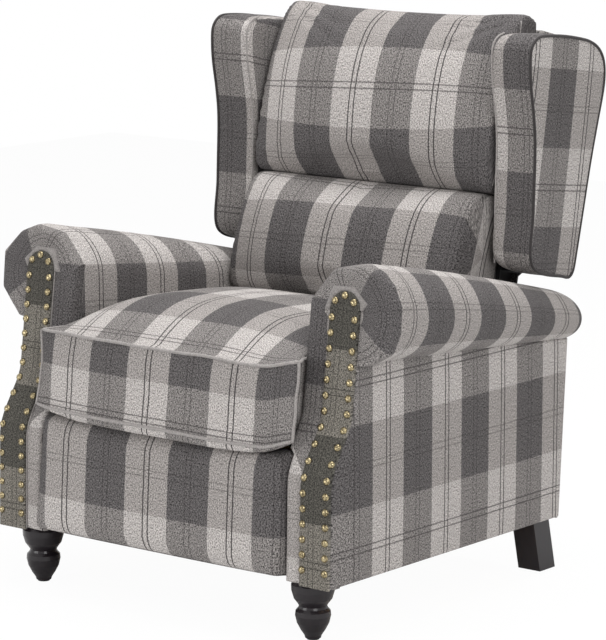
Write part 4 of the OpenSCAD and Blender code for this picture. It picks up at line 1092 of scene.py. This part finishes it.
def pillow(kind, chart, stands_for, dip=0.0):
    """Stuffs, cuts and dresses a pillow."""
    obj = pillow_form(kind, dip)
    low, high, half = kind["low"], kind["high"], kind["half"]

    def held(p):
        n = from_back(p)[0]
        if n < PILLOW_N + 5:
            return 1.0
        return 0.55 if abs(abs(p.x) - half * 0.955) < 4 and n > PILLOW_N + 20 else 0.0

    def keep(p):
        n, w = from_back(p)
        # The pillows stay clear of each other where they meet
        w = min(w, low + high - 0.1) if kind is LUMBAR else max(w, low + 0.4)
        return on_back(max(-half - 1.5, min(half + 1.5, p.x)), max(n, PILLOW_N), w)
    stuffed(obj, 6, held, cap=12, pressure=3.0, keep=keep)
    cut_gussets(obj, kind)
    dress(obj, "back", tweed, chart, stands_for)


pillow(LUMBAR, pillow_chart(LUMBAR, warp_at=-32, warp_mm=174.5, weft_at=356, lean=(14, 0, 1),
                            rise=(4, 6), gusset=-0.45), ["lumbar_pillow"])
pillow(HEAD, pillow_chart(HEAD, warp_at=-37, warp_mm=173, weft_at=233, lean=(34, -22, 0.2),
                          rise=(10, 8), gusset=0.3), ["head_pillow"], dip=7)
# Sewn seams where each pillow's face meets its end gussets
for kind in (LUMBAR, HEAD):
    around = surface_of(bpy.data.objects[kind["name"]])
    for side, word in ((1, "right"), (-1, "left")):
        heights = [kind["low"] + kind["high"] * (0.04 + 0.92 * i / 40) for i in range(41)]
        route = [on_back(side * (kind["half"] + 6), gusset_seam(kind, w), w) for w in heights]
        route = calm(snapped(around, route, 0.1), 3)
        dress(tube(f"{kind['name'][:-6]}_seam_{word}", route, 1.1), "back", pale_cord)


# Wings: padded boards with a dark welt round the outer panel
WING_N, WING_W, WING_LONG, WING_HIGH = -29, 162, 214, 408
WING = [(WING_N + WING_LONG * a, WING_W + WING_HIGH * b) for a, b in (
    (0.112, 0.012), (0.565, 0.03), (0.66, 0.25), (0.757, 0.505), (0.836, 0.632), (0.94, 0.76),
    (0.99, 0.85), (1, 0.9), (0.96, 0.94), (0.874, 0.965), (0.58, 0.99), (0.285, 1),
    (0.16, 0.995), (0.07, 0.98), (-0.005, 0.95), (-0.055, 0.9), (-0.075, 0.82), (-0.055, 0.67),
    (-0.036, 0.5), (-0.028, 0.3), (-0.02, 0.12), (-0.012, 0.045), (0.03, 0.015))]


def wing_ring(x, grow, outline):
    cn, cw = WING_N + WING_LONG * 0.45, WING_W + WING_HIGH / 2
    return [on_back(x, cn + (n - cn) * grow, cw + (w - cw) * grow) for n, w in outline]


def wing():
    outline = smoothed(WING, 150)
    rings = [wing_ring(x, grow, outline) for x, grow in (
        (264.6, 0.12), (264.0, 0.35), (263.2, 0.6), (262.8, 0.8), (263.2, 0.9), (264.4, 0.95),
        (266.5, 0.973), (270, 0.985), (276, 0.993), (285, 0.999), (300, 1.003), (315, 1.003),
        (330, 1.0), (338, 0.996), (342.3, 0.989), (344.3, 0.98), (345.4, 0.965),
        (346.2, 0.93), (347, 0.8), (347.6, 0.6), (347.8, 0.35), (347.9, 0.12))]
    return fine(outward(shape("wing", *skin(rings))))


def wing_front(w):
    """How far forward the wing reaches at a height."""
    for (n, low), (m, high) in zip(WING[1:8], WING[2:9]):
        if w <= high:
            return mix(n, m, clamp((w - low) / (high - low)))
    return WING[8][0]


def wing_chart(side, p, normal, middle):
    n, w = from_back(p)
    x, out = abs(p.x), normal.x * side
    if out > 0.7:
        warp = (-n - mix(20, -9, (w - WING_W) / WING_HIGH)) / 162
        return warp, (w + 0.11 * (n - 70) - 312) / WEFT_MM
    start, level = (328, 395) if side > 0 else (317, 478)
    if out < -0.7:
        # The light stripe of the front edge runs a little way on to the inner face
        behind = max(0.0, wing_front(w) - n)
        return ((265 - start) / 160 + 0.5 + min(behind, 14) / 190 + max(0, behind - 14) / 160,
                (w - level) / WEFT_MM)
    return (x - start) / 160 + 0.5, (w - level) / WEFT_MM


def wing_welt():
    outline = smoothed(WING, 220)
    return tube("welt", calm(wing_ring(344.0, 0.992, outline), 1, True), 2.6, 8, True)


def wing_inner_seam():
    front = smoothed(WING[1:10], 120, False)
    return tube("seam", [on_back(265.2, n - 1.6, w) for n, w in front], 1.5)


arm_piece(wing, "wing_cover", "back", tweed, wing_chart, ["wing_pad_{}"])
arm_piece(wing_welt, "wing_welt", "back", dark_cord)
arm_piece(wing_inner_seam, "wing_front_seam", "back", pale_cord)


# Outside back, rear apron and linings
BRACKET_IN = min(abs(v.co.x) for v in nodes["back_brackets"].data.vertices
                 if v.co.z > 0.36) / MM - 3


def back_path(b):
    """The outside back from its lower edge up and over the top: n, w and the way it faces."""
    rear, low, edge, top, r = -10.5, -61, 561, 571, 14
    up, turn, over = edge - low, r * math.pi / 2, 42
    at = b * (up + turn + over)
    if at < up:
        return rear, low + at, (-1, 0)
    if at < up + turn:
        a = (at - up) / r
        return (rear + (r - 8) * (1 - math.cos(a)), edge + (r - 8) * math.sin(a),
                (-math.cos(a), math.sin(a)))
    return rear + 6 + (at - up - turn), top, (0, 1)


def back_cover():
    def place(a, b, h):
        n, w, face = back_path(b)
        half = mix(246, 261.5, ease((w - 163) / 9)) if w > -4 else BRACKET_IN
        return on_back(half * (2 * a - 1), n + face[0] * h, w + face[1] * h)
    return panel("back_outer_cover", place, 500, 690, 8, 5, (50, 120), 1.5)


def back_chart(p, normal, middle):
    n, w = from_back(p)
    rise = w if n < -8 else 571 + (n + 10)
    return (p.x + 20) / 172, (rise - 340) / WEFT_MM


def apron_cover():
    low, high = (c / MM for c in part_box("rear_apron"))

    def place(a, b, h):
        return mix(low.x, high.x, a), low.y + h, mix(low.z, high.z, b)
    size = high - low
    return panel("rear_apron_cover", place, size.x, size.z, size.y + 0.8, 4, (50, 16), 0.8)


def apron_chart(p, normal, middle):
    return (p.x + 20) / 172, (p.z - 147) / WEFT_MM


def deck_cover():
    low, high = (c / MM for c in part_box("seat_deck"))

    def place(a, b, h):
        return mix(low.x, high.x, a), mix(low.y, high.y, b), low.z + h
    size = high - low
    return panel("seat_deck_cloth", place, size.x, size.y, size.z, 1.5, (30, 30))


def liner_cover():
    def place(a, b, h):
        return on_back(mix(-246, 246, a), 40.7 + h, mix(-59, 570, b))
    return panel("back_liner_cloth", place, 492, 629, 4, 2, (24, 30))


def webbing_straps():
    points, faces = [], []
    for w in (60, 135, 210, 380, 460):
        for i in range(25):
            x = mix(-246, 246, i / 24)
            for up, out in ((0, 0), (3, 1.4), (22.5, 1.5), (42, 1.4), (45, 0), (22.5, 0)):
                points.append(on_back(x, 39.1 + out, w + up))
        first = len(points) - 150
        for i in range(24):
            for k in range(6):
                a, b = first + 6 * i + k, first + 6 * i + (k + 1) % 6
                faces.append((a, b, b + 6, a + 6))
        faces += [tuple(first + k for k in range(6)), tuple(first + 149 - k for k in range(6))]
    return outward(shape("back_webbing_straps", points, faces))


dress(back_cover(), "back", tweed, back_chart, ["back_panel"])
dress(apron_cover(), "base", tweed, apron_chart, ["rear_apron"])
dress(deck_cover(), "seat", black_cloth, None, ["seat_deck"])
dress(liner_cover(), "back", black_cloth, None, ["back_liner"])
dress(webbing_straps(), "back", black_cloth, None, ["back_webbing"])


def post_lining():
    """Black lining stapled round the back post."""
    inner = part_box("back_post_right")[0].x / MM
    low_n, high_n, r = -10.3, 38.9, 2
    rings = []
    for w, out in ((-59.5, 21), (-59, 21.9), (60, 21.9), (150, 21.9), (164, 21.9),
                   (166.5, None), (300, None), (450, None), (569, None), (570, 21)):
        far = inner + out if out else 262.2
        rings.append([on_back(cx + r * math.cos(a), cn + r * math.sin(a), w)
                      for cx, cn, start in ((far - r, high_n - r, 0),
                                            (inner + 0.1 + r, high_n - r, 90),
                                            (inner + 0.1 + r, low_n + r, 180),
                                            (far - r, low_n + r, 270))
                      for a in (math.radians(start + 30 * k) for k in range(4))])
    return outward(shape("lining", *skin(rings)))


arm_piece(post_lining, "back_post_lining", "back", black_cloth, None, ["back_post_{}"])


# Carried-over frame pieces keep their shapes and get their real finishes
for row in frame["record"]["subparts"]:
    node = nodes.get(row["node"])
    if node is None or node.hide_render:
        continue
    node.data.materials.clear()
    node.data.materials.append(slot_finishes[row["material_slot"]])


# Studio. The camera is fitted to points of the photo, whose principal point is off its middle.
PHOTO_PX, FOCAL_PX, SENSOR_MM = 640, 3239, 36


def camera():
    az, el, away = math.radians(38.773), math.radians(10.010), 5.418
    target = Vector((0.0471, -0.057, 0.4582))
    lens = bpy.data.cameras.new("camera")
    lens.sensor_width = SENSOR_MM
    lens.lens = FOCAL_PX * SENSOR_MM / PHOTO_PX
    lens.shift_x = (303 - 301.28) / PHOTO_PX
    lens.shift_y = (313.77 - 320) / PHOTO_PX
    made = placed("camera", lens)
    made.location = target + away * Vector((math.sin(az) * math.cos(el),
                                            -math.cos(az) * math.cos(el), math.sin(el)))
    made.rotation_euler = (math.pi / 2 - el, 0, az)
    bpy.context.scene.camera = made


def lamp(name, place, aim, size, watts):
    light = bpy.data.lights.new(name, "AREA")
    light.shape, light.size, light.size_y, light.energy = "RECTANGLE", size[0], size[1], watts
    made = placed(name, light)
    made.location = place
    made.rotation_euler = (Vector(aim) - Vector(place)).to_track_quat("-Z", "Y").to_euler()


def studio():
    world = bpy.data.worlds.new("studio")
    tree = cleared(world)
    plain, white = (add(tree, "Background", {"Color": (1, 1, 1, 1), "Strength": strength})
                    for strength in (0.34, 1.0))
    # Dim as a light, and white to the camera and in gloss and glass
    rays = add(tree, "LightPath").node.outputs
    seen = 0.0
    for kind in ("Glossy", "Transmission", "Camera"):
        seen = add(tree, "Math", (seen, rays[f"Is {kind} Ray"]), operation="MAXIMUM")
    add(tree, "OutputWorld", {"Surface": add(tree, "MixShader", (seen, plain, white))})
    bpy.context.scene.world = world
    bpy.context.scene.view_settings.view_transform = "Standard"

    # Painted studio floor: matt, near white, with the chair's soft shadow left on it
    paper = bpy.data.materials.new("studio_paper")
    tree = cleared(paper)
    matt = add(tree, "BsdfDiffuse", {"Color": linear("#f4f4f4")})
    glow = add(tree, "Emission", {"Color": (1, 1, 1, 1), "Strength": 1.0})
    seen = add(tree, "LightPath", output="Is Camera Ray")
    lift = add(tree, "Math", (seen, 0.965), operation="MULTIPLY")
    add(tree, "OutputMaterial", {"Surface": add(tree, "MixShader", (lift, matt, glow))})
    reach = 4.5
    mesh = bpy.data.meshes.new("floor")
    mesh.from_pydata([(-reach, -reach, 0), (reach, -reach, 0), (reach, reach, 0),
                      (-reach, reach, 0)], [], [(0, 1, 2, 3)])
    mesh.materials.append(paper)
    placed("floor", mesh)

    lamp("window_softbox", (2.6, -1.7, 2.3), (0.1, -0.1, 0.5), (1.8, 1.8), 56)
    lamp("front_softbox", (-1.4, -3.0, 0.8), (0, 0, 0.35), (1.8, 1.2), 31)
    lamp("top_softbox", (0.1, 0.5, 3.7), (0, 0, 0.4), (2.2, 2.2), 125)


camera()
studio()
